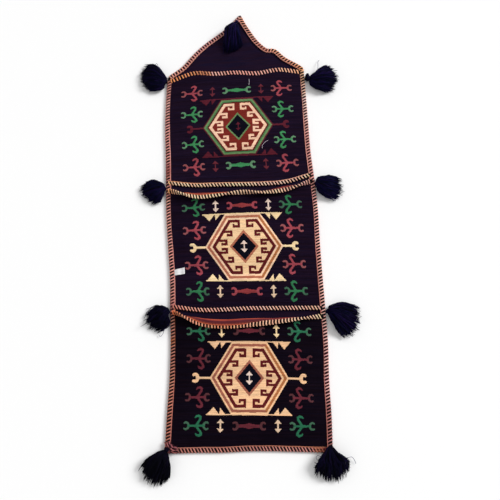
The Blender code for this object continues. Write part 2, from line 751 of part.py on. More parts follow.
def back_outline():
    """Back panel inside all its edge bindings, anticlockwise from the lower left."""
    hem = across_pocket(HEM_LINE)
    lower = [(x, hem(x) + SEAM_OFFSET) for x in column_xs()]
    rows = 8 * 3
    first = lower[0][1]
    rise = [(PANEL_HALF, first + (SHOULDER_Y - first) * i / rows) for i in range(1, rows)]
    left, right = flap_edge(STITCH_RIDGE)
    line = left + right[1:]
    flap = [spot - side * SEAM_OFFSET for spot, side in zip(line, edge_sides(line))]
    inside = [(p.x, p.y) for p in flap[::-1]]
    return lower + rise + inside + [(-x, y) for x, y in rise[::-1]]


def back_panel(name, material):
    """Flat strip of kilim with its pointed flap."""
    outline = back_outline()
    verts, triangles, _ = triangulate(outline, [], [])
    bm = bmesh.new()
    low = [bm.verts.new(lay(p.x, p.y, 0.0)) for p in verts]
    high = [bm.verts.new(lay(p.x, p.y, BACK_THICKNESS)) for p in verts]
    borders = set()
    for triangle in triangles:
        bm.faces.new([high[i] for i in triangle])
        bm.faces.new([low[i] for i in reversed(triangle)])
        borders.update(zip(triangle, triangle[1:] + triangle[:1]))
    for a, b in borders:
        if (b, a) not in borders:
            bm.faces.new((low[a], low[b], high[b], high[a]))
    mesh = bpy.data.meshes.new(name)
    bm.to_mesh(mesh)
    bm.free()
    return link(name, mesh, [material])


def side_tag(name, front, material):
    """Blank tape label that comes out of the left binding onto the pocket."""
    left = -PANEL_HALF
    clear = FRONT_THICKNESS + SEWN_GAP
    rings = []
    for i in range(5):
        x = left + TAG_LENGTH * i / 4
        lower = TAG_Y - TAG_HEIGHT / 2 + TAG_HEIGHT * 0.25 * i / 4
        upper = lower + TAG_HEIGHT * (1 + 0.1 * i / 4)
        rings.append([front.point(x, lower, clear), front.point(x, upper, clear),
                      front.point(x, upper, clear + TAG_THICKNESS),
                      front.point(x, lower, clear + TAG_THICKNESS)])
    return loft(name, rings, material)


def neck_ring(centre, across, radius):
    sides = 8
    turns = [2 * math.pi * k / sides for k in range(sides)]
    return [centre + across * (radius * math.cos(turn))
            + Vector((0, 0, radius * math.sin(turn))) for turn in turns]


def tassel(place, root, away, root_z, fall, neck_yarn, skirt_yarn):
    """Wrapped neck whose end at root faces back against away, and a skirt of cut yarn."""
    name = "tassel_" + place
    heading = math.radians(HEADING_DEG[place])
    along = Vector((math.cos(heading), math.sin(heading), 0))
    across = Vector((-along.y, along.x, 0))
    up = Vector((0, 0, 1))
    centre = Vector((root.x, root.y, root_z + NECK_RADIUS))
    held = Vector((root.x, root.y, root_z + EDGE_THICKNESS / 2))
    rings = [neck_ring(held, Vector((-away.y, away.x, 0)), NECK_RADIUS * 0.62)]
    for at, wide in ((0.4, 1.0), (0.8, 1.0), (1.0, 0.8)):
        rings.append(neck_ring(centre + along * NECK_LENGTH[place] * at, across,
                               NECK_RADIUS * wide))
    loft(name + "_neck", rings, neck_yarn)
    start = Vector((root.x, root.y, 0)) + along * (NECK_LENGTH[place] + SEWN_GAP)
    lefts = [across * NECK_RADIUS * 0.75] + [Vector((*edge, 0)) for edge in SKIRT_LEFT[place]]
    rights = [-across * NECK_RADIUS * 0.75] + [Vector((*edge, 0)) for edge in SKIRT_RIGHT[place]]
    sides = 14
    rings = []
    for left, right, (height, bow, fallen) in zip(
            lefts, rights, ((0.4, 0.0, 0.0), (0.85, 0.45, 0.0), (1.0, 0.65, 0.1), (0.5, 1.0, 1.0))):
        half_height = SKIRT_HEIGHT / 2 * height
        low = root_z - fall * fallen
        middle = low + half_height + max(0.0, NECK_RADIUS - half_height)
        ring = []
        for k in range(sides):
            turn = 2 * math.pi * k / sides
            share = (1 - math.cos(turn)) / 2
            ragged = SKIRT_RAGGED * (1 if k % 2 else -1) * (bow == 1.0)
            ring.append(start + left.lerp(right, share)
                        + along * (SKIRT_BOW * bow * math.sin(turn) ** 2 + ragged)
                        + up * (middle + half_height * math.sin(turn)))
        rings.append(ring)
    loft(name + "_skirt", rings, skirt_yarn, paired_ends=True)


def outside(side, y):
    """Place against a side binding at cloth height y, and the direction away from it."""
    edge = lay(side * HALF_WIDTH, y)
    run = lay(side * HALF_WIDTH, y + STITCH_RIDGE) - lay(side * HALF_WIDTH, y - STITCH_RIDGE)
    away = Vector((run.y, -run.x, 0)).normalized() * side
    return edge + away * SEWN_GAP, away


def tassels(neck_yarn, skirt_yarn):
    """Nine tassels: flap point, shoulders, the ends of both seam rows, and hem corners."""
    table = 0.0
    on_edge = EDGE_THICKNESS + SEWN_GAP
    for row, level in ((LAST_ROW, "shoulder"), (LAST_ROW - 1, "waist"), (1, "hip")):
        for side, hand in ((-1, "left"), (1, "right")):
            place = level + "_" + hand
            root, away = outside(side, row * POCKET_PITCH + ABOVE_ROW[place])
            tassel(place, root, away, table, 0.0, neck_yarn, skirt_yarn)
    down = Vector((0, -1, 0))
    corner = lay(-HALF_WIDTH + HEM_LEFT_TUCK, HEM_LEFT_RISE)
    tassel("hem_left", corner, down, on_edge, on_edge, neck_yarn, skirt_yarn)
    corner = lay(EDGE_LINE_X, -HALF_BINDING)
    tassel("hem_right", corner, down, on_edge, on_edge, neck_yarn, skirt_yarn)
    point = lay(FLAP_POINT[0], SHOULDER_Y + FLAP_POINT[1])
    over = on_edge - BACK_THICKNESS - SEWN_GAP
    tassel("flap", point, down, on_edge, over, neck_yarn, skirt_yarn)


def build():
    clear_scene()
    colours = {name: cloth_material(name, colour) for name, colour in COLOURS.items()}
    threads = {name: cloth_material(name, colour) for name, colour in THREAD_COLOURS.items()}
    bright = pattern("cream", "salmon", "maroon", "cream", "rose", "ground", "cream",
                     "rose", "green", "rose", "cream")
    dusky = pattern("dark_red", "green", "cream", "brick", "green", "ground", "dark_red",
                    "green", "rose", "green", "dark_red")
    lower = PocketFront(0, HEM_LINE, HALF_BINDING, LOWER_MOUTH_DROP, LOWER_LIP, LOWER_GAPE)
    middle = PocketFront(1, MIDDLE_FOOT_LINE, HALF_FOOT_BINDING, MIDDLE_MOUTH_DROP, MIDDLE_LIP,
                         MIDDLE_GAPE)
    upper = PocketFront(2, UPPER_FOOT_LINE, HALF_FOOT_BINDING, UPPER_MOUTH_DROP, UPPER_LIP,
                        UPPER_GAPE)
    back_panel("back_panel", colours["ground"])
    fronts = (("lower", lower, bright, LOWER_PATTERN_SHIFT),
              ("middle", middle, bright, MIDDLE_PATTERN_SHIFT),
              ("upper", upper, dusky, UPPER_PATTERN_SHIFT))
    for place, front, shapes, shift in fronts:
        centre = POCKET_PITCH / 2 + shift
        placed = [(moved(outline, 0.0, centre), colour) for outline, colour in shapes]
        pocket_front("pocket_front_" + place, front, placed, colours)
        mouth_binding("mouth_binding_" + place, front, threads["orange_thread"])
    foot_binding("hem_binding", 0, HEM_LINE, HALF_BINDING, 0.0, EDGE_THICKNESS,
                 threads["orange_thread"])
    foot_binding("foot_binding_middle", 1, MIDDLE_FOOT_LINE, HALF_FOOT_BINDING, FRONT_BASE,
                 BINDING_THICKNESS, threads["orange_thread"])
    foot_binding("foot_binding_upper", 2, UPPER_FOOT_LINE, HALF_FOOT_BINDING, FRONT_BASE,
                 BINDING_THICKNESS, threads["orange_thread"])
    side_binding("side_binding_left", -1, threads["peach_thread"])
    side_binding("side_binding_right", 1, threads["peach_thread"])
    flap_binding("flap_binding", threads["peach_thread"])
    side_tag("side_tag", middle, threads["white_tape"])
    tassels(threads["navy_yarn"], threads["navy_yarn"])


build()
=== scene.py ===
# Kilim saddle bag spread out on a table: woven cloth, overcast edges and yarn tassels
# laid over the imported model. Metres, +Z up, +Y towards the flap.
#
# Cloth coordinates are x across the strip and y along it from the hem, as on straight cloth.
# lay() turns them into the place where the cloth lies, with the same rows as the model.

import math

import bpy
import numpy as np
from mathutils import Matrix, Vector


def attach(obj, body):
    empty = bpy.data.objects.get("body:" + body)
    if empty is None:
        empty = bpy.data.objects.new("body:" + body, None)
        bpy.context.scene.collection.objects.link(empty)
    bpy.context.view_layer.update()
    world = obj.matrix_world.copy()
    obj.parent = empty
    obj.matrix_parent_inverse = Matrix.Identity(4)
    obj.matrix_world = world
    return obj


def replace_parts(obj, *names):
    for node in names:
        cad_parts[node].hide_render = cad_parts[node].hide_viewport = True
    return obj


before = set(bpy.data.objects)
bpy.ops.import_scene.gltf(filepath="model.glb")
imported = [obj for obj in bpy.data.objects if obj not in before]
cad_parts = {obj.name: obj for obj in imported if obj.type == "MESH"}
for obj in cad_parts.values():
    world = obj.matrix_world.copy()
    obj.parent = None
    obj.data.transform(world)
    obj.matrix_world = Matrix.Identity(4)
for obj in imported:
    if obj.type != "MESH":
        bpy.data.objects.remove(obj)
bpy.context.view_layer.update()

# The strip as woven, and how its four seam rows lie
STRIP_WIDTH = 0.360
POCKET_PITCH = 0.313
BACK_LENGTH = 1.118
CLOTH = 0.0024
RELIEF = 0.0007
SEWN_GAP = 0.0003
MOUTH_GAP = 0.0005
ROW_SHIFT_X = (-0.0043, 0.0032, -0.0013, -0.0043)
ROW_SHIFT_Y = (-0.0009, -0.0043, 0.0031, -0.0035)
ROW_WIDENING = (0.0001, -0.0035, 0.0060, -0.0056)
ROW_TURN_DEG = (-2.2, -2.2, 0.52, 2.15)

# How far the left and right edges lie to the right of that, at each quarter of a pocket
LEFT_EDGE_SHIFT = (-0.0052, -0.0059, -0.0032, -0.0016, -0.0019, -0.0005, -0.0022,
                   -0.0035, -0.0020, -0.0008, -0.0021, -0.0016, 0.0)
RIGHT_EDGE_SHIFT = (0.0007, 0.0018, 0.0007, 0.0028, 0.0016, 0.0, -0.0007,
                    0.0005, -0.0018, -0.0053, -0.0040, -0.0022, 0.0)

# Overcast bindings
BINDING_WIDTH = 0.013
FOOT_BINDING_WIDTH = 0.0104
BINDING_THICKNESS = 0.0066
EDGE_THICKNESS = 0.0080
STITCH_PAIR = 0.0073
STITCH_LEAN = 0.24

# Lines across a pocket at seven places from left to right
HEM_LINE = (-0.0020, -0.0005, 0.0, 0.0030, 0.0030, 0.0015, 0.0)
MIDDLE_FOOT_LINE = (0.0078, 0.0010, 0.0016, 0.0045, 0.0050, 0.0056, 0.0057)
UPPER_FOOT_LINE = (0.0073, -0.0007, -0.0020, -0.0035, -0.0047, -0.0018, 0.0125)
LOWER_MOUTH_DROP = (0.0065, 0.0340, 0.0410, 0.0376, 0.0321, 0.0234, 0.0140)
MIDDLE_MOUTH_DROP = (0.0160, 0.0374, 0.0378, 0.0313, 0.0353, 0.0277, 0.0055)
UPPER_MOUTH_DROP = (0.0080, -0.0080, -0.0002, 0.0007, 0.0067, -0.0020, 0.0062)
LOWER_LIP = (0.0050, 0.0195, 0.0225, 0.0210, 0.0163, 0.0130, 0.0040)
MIDDLE_LIP = (0.0040, 0.0170, 0.0150, 0.0060, 0.0135, 0.0165, 0.0040)
UPPER_LIP = (0.0, 0.0, 0.0, 0.0, 0.0, 0.0, 0.0)
LIP_RADIUS = 0.0060
LIP_TURN_LIMIT = math.radians(195)
MOUTH_LIFT = 0.0025

# The flap's overcast edge, y from the shoulder row
FLAP_LEFT_EDGE = ((-0.1690, 0.0080), (-0.1380, 0.0320), (-0.1050, 0.0730),
                  (-0.0740, 0.1045), (-0.0220, 0.1470))
FLAP_POINT = (0.0145, 0.1880)
FLAP_RIGHT_EDGE = ((0.0280, 0.1560), (0.0545, 0.1055), (0.0810, 0.0745),
                   (0.1040, 0.0690), (0.1290, 0.0410), (0.1680, 0.0110))

# Tassels
NECK_RADIUS = 0.0062
SKIRT_HEIGHT = 0.0240
SKIRT_YARNS = 420
BUNCHES = 25
TABLE_CLEARANCE = 0.0012
HEM_LEFT_TUCK = 0.0080
HEM_LEFT_RISE = 0.0042
FLAP_TASSEL_SHIFT = (-0.006, -0.017)

# Each tassel's root above its seam row, its heading, the length and stoutness of its neck, how
# far yarns climb back over the neck, the bow of the skirt's end, how open its yarns are, how blue
# they are, partly yarn colour and partly a painted sheen, and, from the neck's end, the skirt's
# left and right edges and yarns that have come loose
USUAL_TASSEL = {"stoutness": 1.0, "hidden": 0.0, "bow": 0.016, "openness": 1.0, "loose": ()}
TASSELS = {
    "shoulder_left": dict(
        above_row=-0.008, heading_deg=165, neck=0.006, hidden=0.006, openness=0.9, blueness_and_sheen=0.7,
        left=((-0.002, -0.021), (-0.019, -0.030), (-0.046, -0.025)),
        right=((-0.003, 0.020), (-0.022, 0.044), (-0.044, 0.051)),
        loose=(((-0.016, 0.034), (-0.018, 0.046), (-0.022, 0.055), (-0.026, 0.052)),)),
    "shoulder_right": dict(
        above_row=-0.026, heading_deg=-2, neck=0.012, stoutness=1.8, blueness_and_sheen=0.9,
        left=((0.009, 0.009), (0.031, 0.026), (0.052, 0.037)),
        right=((0.000, -0.022), (0.022, -0.039), (0.052, -0.044)),
        loose=(((0.022, 0.022), (0.024, 0.036), (0.025, 0.048), (0.029, 0.055)),)),
    "waist_left": dict(
        above_row=-0.004, heading_deg=198, neck=0.005, hidden=0.005, bow=0.013, openness=0.9,
        blueness_and_sheen=0.7,
        left=((0.002, -0.015), (-0.005, -0.033), (-0.018, -0.041)),
        right=((-0.001, 0.011), (-0.022, 0.020), (-0.050, 0.016))),
    "waist_right": dict(
        above_row=-0.006, heading_deg=-23, neck=0.005, hidden=0.005, bow=0.01, blueness_and_sheen=1.0,
        left=((0.003, 0.013), (0.024, 0.015), (0.053, 0.012)),
        right=((-0.001, -0.023), (0.014, -0.038), (0.037, -0.047)),
        loose=(((0.030, -0.042), (0.034, -0.048), (0.040, -0.050), (0.041, -0.046)),)),
    "hip_left": dict(
        above_row=0.0, heading_deg=211, neck=0.008, hidden=0.008, openness=2.0, blueness_and_sheen=0.4,
        left=((0.004, -0.010), (0.006, -0.030), (-0.010, -0.043)),
        right=((-0.003, 0.011), (-0.018, 0.014), (-0.038, 0.007)),
        loose=(((-0.020, 0.010), (-0.032, 0.012), (-0.044, 0.004), (-0.048, -0.002)),
               ((-0.030, 0.002), (-0.040, 0.001), (-0.048, -0.006), (-0.052, -0.012)),
               ((-0.012, 0.013), (-0.024, 0.017), (-0.038, 0.012), (-0.047, 0.010)),
               ((-0.004, -0.040), (-0.008, -0.050), (-0.014, -0.056), (-0.018, -0.052)))),
    "hip_right": dict(
        above_row=0.0, heading_deg=-28, neck=0.006, openness=1.2, blueness_and_sheen=0.7,
        left=((0.002, 0.012), (0.033, 0.018), (0.065, 0.012)),
        right=((0.002, -0.014), (0.014, -0.042), (0.032, -0.063))),
    "hem_left": dict(
        heading_deg=238, neck=0.008, openness=1.1, blueness_and_sheen=0.1,
        left=((0.007, -0.013), (0.010, -0.034), (0.004, -0.062)),
        right=((-0.014, -0.001), (-0.033, -0.011), (-0.054, -0.030))),
    "hem_right": dict(
        heading_deg=-85, neck=0.006, hidden=0.019, openness=1.5, blueness_and_sheen=0.35,
        left=((0.017, 0.004), (0.031, -0.008), (0.041, -0.025)),
        right=((-0.020, 0.002), (-0.029, -0.014), (-0.037, -0.034)),
        loose=(((0.034, -0.006), (0.044, -0.004), (0.050, -0.010), (0.053, -0.018)),
               ((-0.022, -0.002), (-0.028, 0.002), (-0.032, -0.004), (-0.027, -0.009)))),
    "flap": dict(
        heading_deg=-130, neck=0.012, stoutness=0.62, openness=0.7, blueness_and_sheen=0.9,
        left=((0.008, -0.008), (0.013, -0.033), (0.015, -0.071)),
        right=((-0.009, -0.003), (-0.026, -0.020), (-0.030, -0.069))),
}

HALF_WIDTH = STRIP_WIDTH / 2
HALF_BINDING = BINDING_WIDTH / 2
HALF_FOOT_BINDING = FOOT_BINDING_WIDTH / 2
EDGE_LINE_X = HALF_WIDTH - HALF_BINDING
PANEL_HALF = HALF_WIDTH - BINDING_WIDTH - SEWN_GAP
MOUTH_OFFSET = HALF_BINDING + MOUTH_GAP
FRONT_BASE = CLOTH + SEWN_GAP
LAST_ROW = len(ROW_SHIFT_Y) - 1
SHOULDER_Y = LAST_ROW * POCKET_PITCH
ROW_Y = [(i - LAST_ROW / 2) * POCKET_PITCH + shift for i, shift in enumerate(ROW_SHIFT_Y)]
ROW_STRETCH = [1 + widening / STRIP_WIDTH for widening in ROW_WIDENING]


def dye(red, green, blue):
    """Linear colour of a dye given as it looks on a screen, from 0 to 255."""
    values = []
    for value in (red, green, blue):
        value = value / 255
        values.append(value / 12.92 if value <= 0.04045 else ((value + 0.055) / 1.055) ** 2.4)
    return np.array(values)


DYES = {
    "green": dye(64, 136, 86),
    "pale_green": dye(96, 138, 104),
    "fern": dye(52, 118, 78),
    "sage": dye(44, 108, 78),
    "pale_sage": dye(68, 104, 82),
    "moss": dye(64, 116, 72),
    "leaf": dye(104, 136, 88),
    "rose": dye(158, 70, 80),
    "pale_rose": dye(146, 82, 84),
    "dusk_rose": dye(144, 58, 60),
    "plum": dye(102, 42, 52),
    "pale_plum": dye(88, 50, 54),
    "cream": dye(242, 194, 150),
    "milk": dye(246, 201, 170),
    "linen": dye(228, 196, 166),
    "straw": dye(248, 217, 168),
    "salmon": dye(176, 106, 82),
    "russet": dye(160, 96, 78),
    "gold": dye(174, 108, 66),
    "maroon": dye(92, 28, 30),
    "wine": dye(90, 32, 44),
    "brick": dye(118, 40, 34),
    "night": dye(14, 13, 24),
    "petal": dye(240, 214, 198),
    "shell": dye(250, 208, 172),
    "oat": dye(242, 202, 156),
}
SOOT = dye(16, 6, 9)
PEACH = dye(240, 164, 134)
PINK = dye(222, 146, 134)
CREAM = dye(255, 208, 172)
ORANGE = dye(242, 166, 110)
# A motif's jaws are of a paler yarn than its body
JAW_DYES = {"green": "pale_green", "fern": "pale_sage", "sage": "pale_sage", "rose": "pale_rose",
            "dusk_rose": "rose", "plum": "pale_plum"}
# Ground of each pocket, darker towards the hem
UPPER_GROUND = dye(26, 15, 32)
MIDDLE_GROUND = dye(24, 13, 29)
LOWER_GROUND = dye(15, 8, 18)


# Where the cloth lies

def row_value(values, v):
    """Smooth value at v rows above the hem row, through the four rows."""
    total = 0.0
    for i, value in enumerate(values):
        weight = 1.0
        for j in range(len(values)):
            if j != i:
                weight = weight * (v - j) / (i - j)
        total = total + weight * value
    return total


def curve_point(p0, p1, p2, p3, t):
    """Point at t from 0 to 1 on the smooth curve from p1 to p2."""
    return 0.5 * (2 * p1 + (p2 - p0) * t + (2 * p0 - 5 * p1 + 4 * p2 - p3) * t ** 2
                  + (3 * p1 - p0 - 3 * p2 + p3) * t ** 3)


def drawn_out(points):
    """Points with one more at each end, in line with the last two."""
    return np.concatenate([[2 * points[0] - points[1]], points, [2 * points[-1] - points[-2]]])


def smooth_at(values, place):
    """Smooth curve through evenly spaced values, for places from 0 to 1."""
    last = len(values) - 1
    spot = np.clip(place, 0.0, 1.0) * last
    i = np.minimum(spot.astype(int), last - 1)
    p = drawn_out(np.asarray(values, float))
    return curve_point(p[i], p[i + 1], p[i + 2], p[i + 3], spot - i)


def lay(x, y, z):
    """Places of points of the straight cloth on the strip as it lies."""
    x, y, z = np.broadcast_arrays(np.asarray(x, float), y, z)
    v = y / POCKET_PITCH
    held = np.clip(v, 0.0, LAST_ROW)
    beyond = v - held
    step = np.where(v < held, 0.001, -0.001)
    centre_x = row_value(ROW_SHIFT_X, held)
    centre_y = row_value(ROW_Y, held)
    centre_x = centre_x + beyond * (row_value(ROW_SHIFT_X, held + step) - centre_x) / step
    centre_y = centre_y + beyond * (row_value(ROW_Y, held + step) - centre_y) / step
    turn = np.radians(row_value(ROW_TURN_DEG, held))
    to_right = (np.clip(x / HALF_WIDTH, -1.0, 1.0) + 1) / 2
    aside = (x * row_value(ROW_STRETCH, held)
             + smooth_at(LEFT_EDGE_SHIFT, held / LAST_ROW) * (1 - to_right)
             + smooth_at(RIGHT_EDGE_SHIFT, held / LAST_ROW) * to_right)
    return np.stack([centre_x + aside * np.cos(turn), centre_y + aside * np.sin(turn), z], -1)


def across(values, x):
    """Smooth curve across a pocket through its seven values."""
    return smooth_at(values, (np.asarray(x) / PANEL_HALF + 1) / 2)


def swell(x, y, seed, wave):
    """Low swells of lying cloth, from 0 to 1."""
    rng = np.random.default_rng(seed)
    total = 0.0
    for _ in range(7):
        way = rng.uniform(0, math.pi)
        pace = 2 * math.pi / (wave * rng.uniform(0.7, 1.6))
        total = total + np.sin(pace * (x * math.cos(way) + y * math.sin(way))
                               + rng.uniform(0, 2 * math.pi))
    return np.clip(0.5 + total / 7, 0.0, 1.0)


def blend(share, stops, tones):
    """Colours between the tones at the stops, for shares from the first stop to the last."""
    tones = np.array(tones)
    return np.stack([np.interp(share, stops, tones[:, k]) for k in range(3)], -1)


def drift(places, seed, reach):
    """Smooth change from -1 to 1 along places, over about a reach."""
    knots = np.random.default_rng(seed).uniform(-1, 1, 3000)
    spot = (np.asarray(places) + 1.0) / reach
    i = np.floor(spot).astype(int)
    t = spot - i
    t = t * t * (3 - 2 * t)
    return knots[i % 3000] * (1 - t) + knots[(i + 1) % 3000] * t


class Front:
    """Where one pocket front lies, from its foot seam to its rolled mouth."""

    def __init__(self, row, foot_line, half_seam, mouth_drop, lip, gape):
        self.base_y = row * POCKET_PITCH
        self.half_seam = half_seam
        self.foot_line = foot_line
        self.mouth_line = [POCKET_PITCH - drop for drop in mouth_drop]
        self.lip_line = lip
        last = len(mouth_drop) - 1
        self.gape_line = [gape * (1 - (2 * i / last - 1) ** 2) for i in range(last + 1)]

    def foot(self, x):
        return across(self.foot_line, x) + self.half_seam + SEWN_GAP

    def lip(self, x):
        return np.maximum(across(self.lip_line, x), 0.0)

    def roll(self, length):
        """Offsets along and up, and the turn, after a length of cloth past the crest."""
        turn = np.clip(length / LIP_RADIUS, 0.0, LIP_TURN_LIMIT)
        tail = np.maximum(length - LIP_RADIUS * LIP_TURN_LIMIT, 0.0)
        along = LIP_RADIUS * np.sin(turn) + tail * np.cos(turn)
        up = LIP_RADIUS * (1 - np.cos(turn)) + tail * np.sin(turn)
        return along, up, turn

    def crest(self, x):
        along, up, turn = self.roll(self.lip(x))
        return across(self.mouth_line, x) - along - MOUTH_OFFSET * np.cos(turn)

    def edge(self, x):
        return self.crest(x) + self.lip(x)

    def profile(self, x, y):
        """Along, up and turn of the cloth's underside at cloth point x, y."""
        foot = self.foot(x)
        crest = self.crest(x)
        lift = MOUTH_LIFT + np.maximum(across(self.gape_line, x), 0.0)
        share = np.clip((y - foot) / (crest - foot), 0.0, 1.0)
        rise = lift * np.sin(share * math.pi / 2)
        slope = np.arctan(lift * np.cos(share * math.pi / 2) * math.pi / 2 / (crest - foot))
        past = np.maximum(y - crest, 0.0)
        along, up, turn = self.roll(past)
        return (np.where(y > crest, crest + along, y), FRONT_BASE + rise + up,
                np.where(y > crest, turn, slope))

    def point(self, x, y, height):
        """Laid place at a height above the cloth's underside."""
        along, up, turn = self.profile(x, y)
        return lay(x, self.base_y + along - height * np.sin(turn), up + height * np.cos(turn))


# Woven pattern, drawn about the middle of a pocket

MEDALLION_TIP = 0.0885
MEDALLION_TOP = 0.0790
MEDALLION_CORNER = 0.0400
MEDALLION = [(MEDALLION_TIP, 0), (MEDALLION_CORNER, MEDALLION_TOP),
             (-MEDALLION_CORNER, MEDALLION_TOP), (-MEDALLION_TIP, 0),
             (-MEDALLION_CORNER, -MEDALLION_TOP), (MEDALLION_CORNER, -MEDALLION_TOP)]
OUTER_ROW = 0.1050
INNER_ROW = 0.0428
CREATURE_X = 0.1145
ARROW_X = 0.0620


def ring_arc(x, y, wide, tall, start, end, thick, tip):
    """Stroke along part of an oval, thinner at both tips."""
    points = []
    steps = 12
    for k in range(steps + 1):
        turn = math.radians(start + (end - start) * k / steps)
        ease = math.sin(math.pi * k / steps) ** 0.6
        points.append((x + wide * math.cos(turn), y + tall * math.sin(turn),
                       tip + (thick - tip) * ease))
    return points


def mirrored(shape, flip_x, flip_y):
    return [(p[0] * flip_x, p[1] * flip_y, *p[2:]) for p in shape]


def moved(shape, dx, dy):
    return [(p[0] + dx, p[1] + dy, *p[2:]) for p in shape]


def jaws(reach, thick):
    """Two round jaws that open outwards, with their tips at reach on both sides."""
    right = ring_arc(reach - 0.0062, 0, 0.0060, 0.0074, 55, 305, thick, thick * 0.72)
    return [right, mirrored(right, -1, 1)]


def stouter(shape, weight):
    """Stroke with its half widths made larger."""
    return [(x, y, half * weight) for x, y, half in shape]


def creature():
    """Four-armed motif: a bar with two jaws, and two arms with hooked heads to the left."""
    bar = [(-0.0170, 0, 0.0019), (-0.0080, 0, 0.0021), (0, 0, 0.0030), (0.0080, 0, 0.0021),
           (0.0170, 0, 0.0019)]
    upper = [(0.0005, 0, 0.0028), (0.0050, 0.0085, 0.0023), (0.0088, 0.0145, 0.0023),
             (0.0092, 0.0190, 0.0025), (0.0050, 0.0215, 0.0027), (0.0005, 0.0205, 0.0021),
             (-0.0020, 0.0180, 0.0013)]
    lower = [(0.0005, 0, 0.0028), (0.0055, -0.0080, 0.0022), (0.0100, -0.0135, 0.0023),
             (0.0112, -0.0185, 0.0026), (0.0070, -0.0215, 0.0027), (0.0015, -0.0200, 0.0020),
             (-0.0005, -0.0172, 0.0013)]
    ends = [stouter(jaw, 1.02) for jaw in jaws(0.0283, 0.0024)]
    return [stouter(stroke, 1.08) for stroke in (bar, upper, lower)], ends


def bone():
    """Bar motif with a bulge in its middle and a jaw at each end."""
    bar = [(-0.0255, 0, 0.0030), (-0.0130, 0, 0.0034), (-0.0085, 0, 0.0042), (0, 0, 0.0062),
           (0.0085, 0, 0.0042), (0.0130, 0, 0.0034), (0.0255, 0, 0.0030)]
    return [bar], [stouter(jaw, 1.05) for jaw in jaws(0.0372, 0.0027)]


def arrow(scale=1.0):
    tip = 0.0150 * scale
    wing = 0.0076 * scale
    stem = 0.0014 * scale
    base = 0.0060 * scale
    return [(0, -tip), (wing, -base), (stem, -base), (stem, base), (wing, base), (0, tip),
            (-wing, base), (-stem, base), (-stem, -base), (-wing, -base)]


def saw():
    """Line along the top of the medallion with two teeth hanging from each end."""
    line = [(-0.0935, 0.0815), (-0.0935, MEDALLION_TOP), (0.0910, MEDALLION_TOP), (0.0910, 0.0815)]
    outer = [(0.0655, 0.0800), (0.0780, 0.0640), (0.0935, 0.0815)]
    inner = [(0.0520, 0.0800), (0.0635, 0.0655), (0.0650, 0.0800)]
    return [line, outer, inner, mirrored(outer, -1, 1), mirrored(inner, -1, 1)]


def fork():
    """Stem from the medallion's side tip to an open jaw."""
    stem = [(0.0860, 0, 0.0024), (0.1040, 0, 0.0024), (0.1150, 0, 0.0027)]
    jaw = ring_arc(0.1212, 0, 0.0060, 0.0078, 56, 304, 0.0038, 0.0030)
    return [stem, jaw]


def inset(outline, distance):
    """Convex anticlockwise outline moved inwards by a distance."""
    shifted = []
    for a, b in zip(outline, outline[1:] + outline[:1]):
        a = Vector(a)
        b = Vector(b)
        inwards = Vector((a.y - b.y, b.x - a.x)).normalized() * distance
        shifted.append((a + inwards, b + inwards))
    corners = []
    for i, (a, b) in enumerate(shifted):
        c, d = shifted[i - 1]
        t = (c - a).cross(d - c) / (b - a).cross(d - c)
        corners.append(tuple(a + (b - a) * t))
    return corners


def slant_x(y, depth):
    """x on the medallion's right slant at height y, a depth inside its outline."""
    tip, corner = inset(MEDALLION, depth)[:2]
    return tip[0] + (corner[0] - tip[0]) * (y - tip[1]) / (corner[1] - tip[1])


def hooks(depth, stroke):
    """Square hooks of the upper right quarter, each joined to the hook band."""
    tick = 0.77 * stroke
    top = MEDALLION_TOP - depth
    x = 0.0066
    far = 0.0232
    low = top - 0.0124
    heel = low + stroke
    shapes = [[(x, top + stroke), (x, low), (far, low), (far, heel + 0.0030),
               (far - tick, heel + 0.0030), (far - tick, heel),
               (x + stroke, heel), (x + stroke, top + stroke)]]
    for x, y, foot in ((0.0245, 0.0392, 0.0140), (0.0366, 0.0176, 0.0148)):
        far = x + foot
        low = y - 0.0148
        heel = low + stroke
        under = y - stroke
        shapes.append([(x, y), (x, low), (far, low), (far, heel + 0.0007),
                       (far - tick, heel + 0.0007), (far - tick, heel), (x + stroke, heel),
                       (x + stroke, under), (slant_x(under, depth - stroke), under),
                       (slant_x(y, depth - stroke), y)])
    return shapes


def medallion(widths, dyes, hook_dye, hook_stroke):
    """Nested bands of the medallion with its hooks, from the outside in."""
    shapes = []
    depth = 0.0
    for width, name in zip(widths, dyes):
        shapes.append((inset(MEDALLION, depth), name))
        depth += width
    high = MEDALLION_TOP - depth + widths[-2]
    for flip_y in (1, -1):
        gap = [(-0.0068, high - 0.0120), (0.0068, high - 0.0120), (0.0068, high), (-0.0068, high)]
        shapes.append((mirrored(gap, 1, flip_y), dyes[-1]))
    for flip_x in (1, -1):
        for flip_y in (1, -1):
            for hook in hooks(depth, hook_stroke):
                shapes.append((mirrored(hook, flip_x, flip_y), hook_dye))
    return shapes


def right_slants(outer, inner, name):
    """Part of a medallion band along its two right slants, in a colour of its own."""
    far = inset(MEDALLION, outer)
    near = inset(MEDALLION, inner)
    return [([far[0], far[1], near[1], near[0]], name),
            ([far[5], far[0], near[0], near[5]], name)]


def diamond(half_width, half_height, line, line_dye, field_dye, arrow_dye, arrow_scale):
    outline = [(half_width, 0), (0, half_height), (-half_width, 0), (0, -half_height)]
    return [(outline, line_dye), (inset(outline, line), field_dye),
            (arrow(arrow_scale), arrow_dye)]


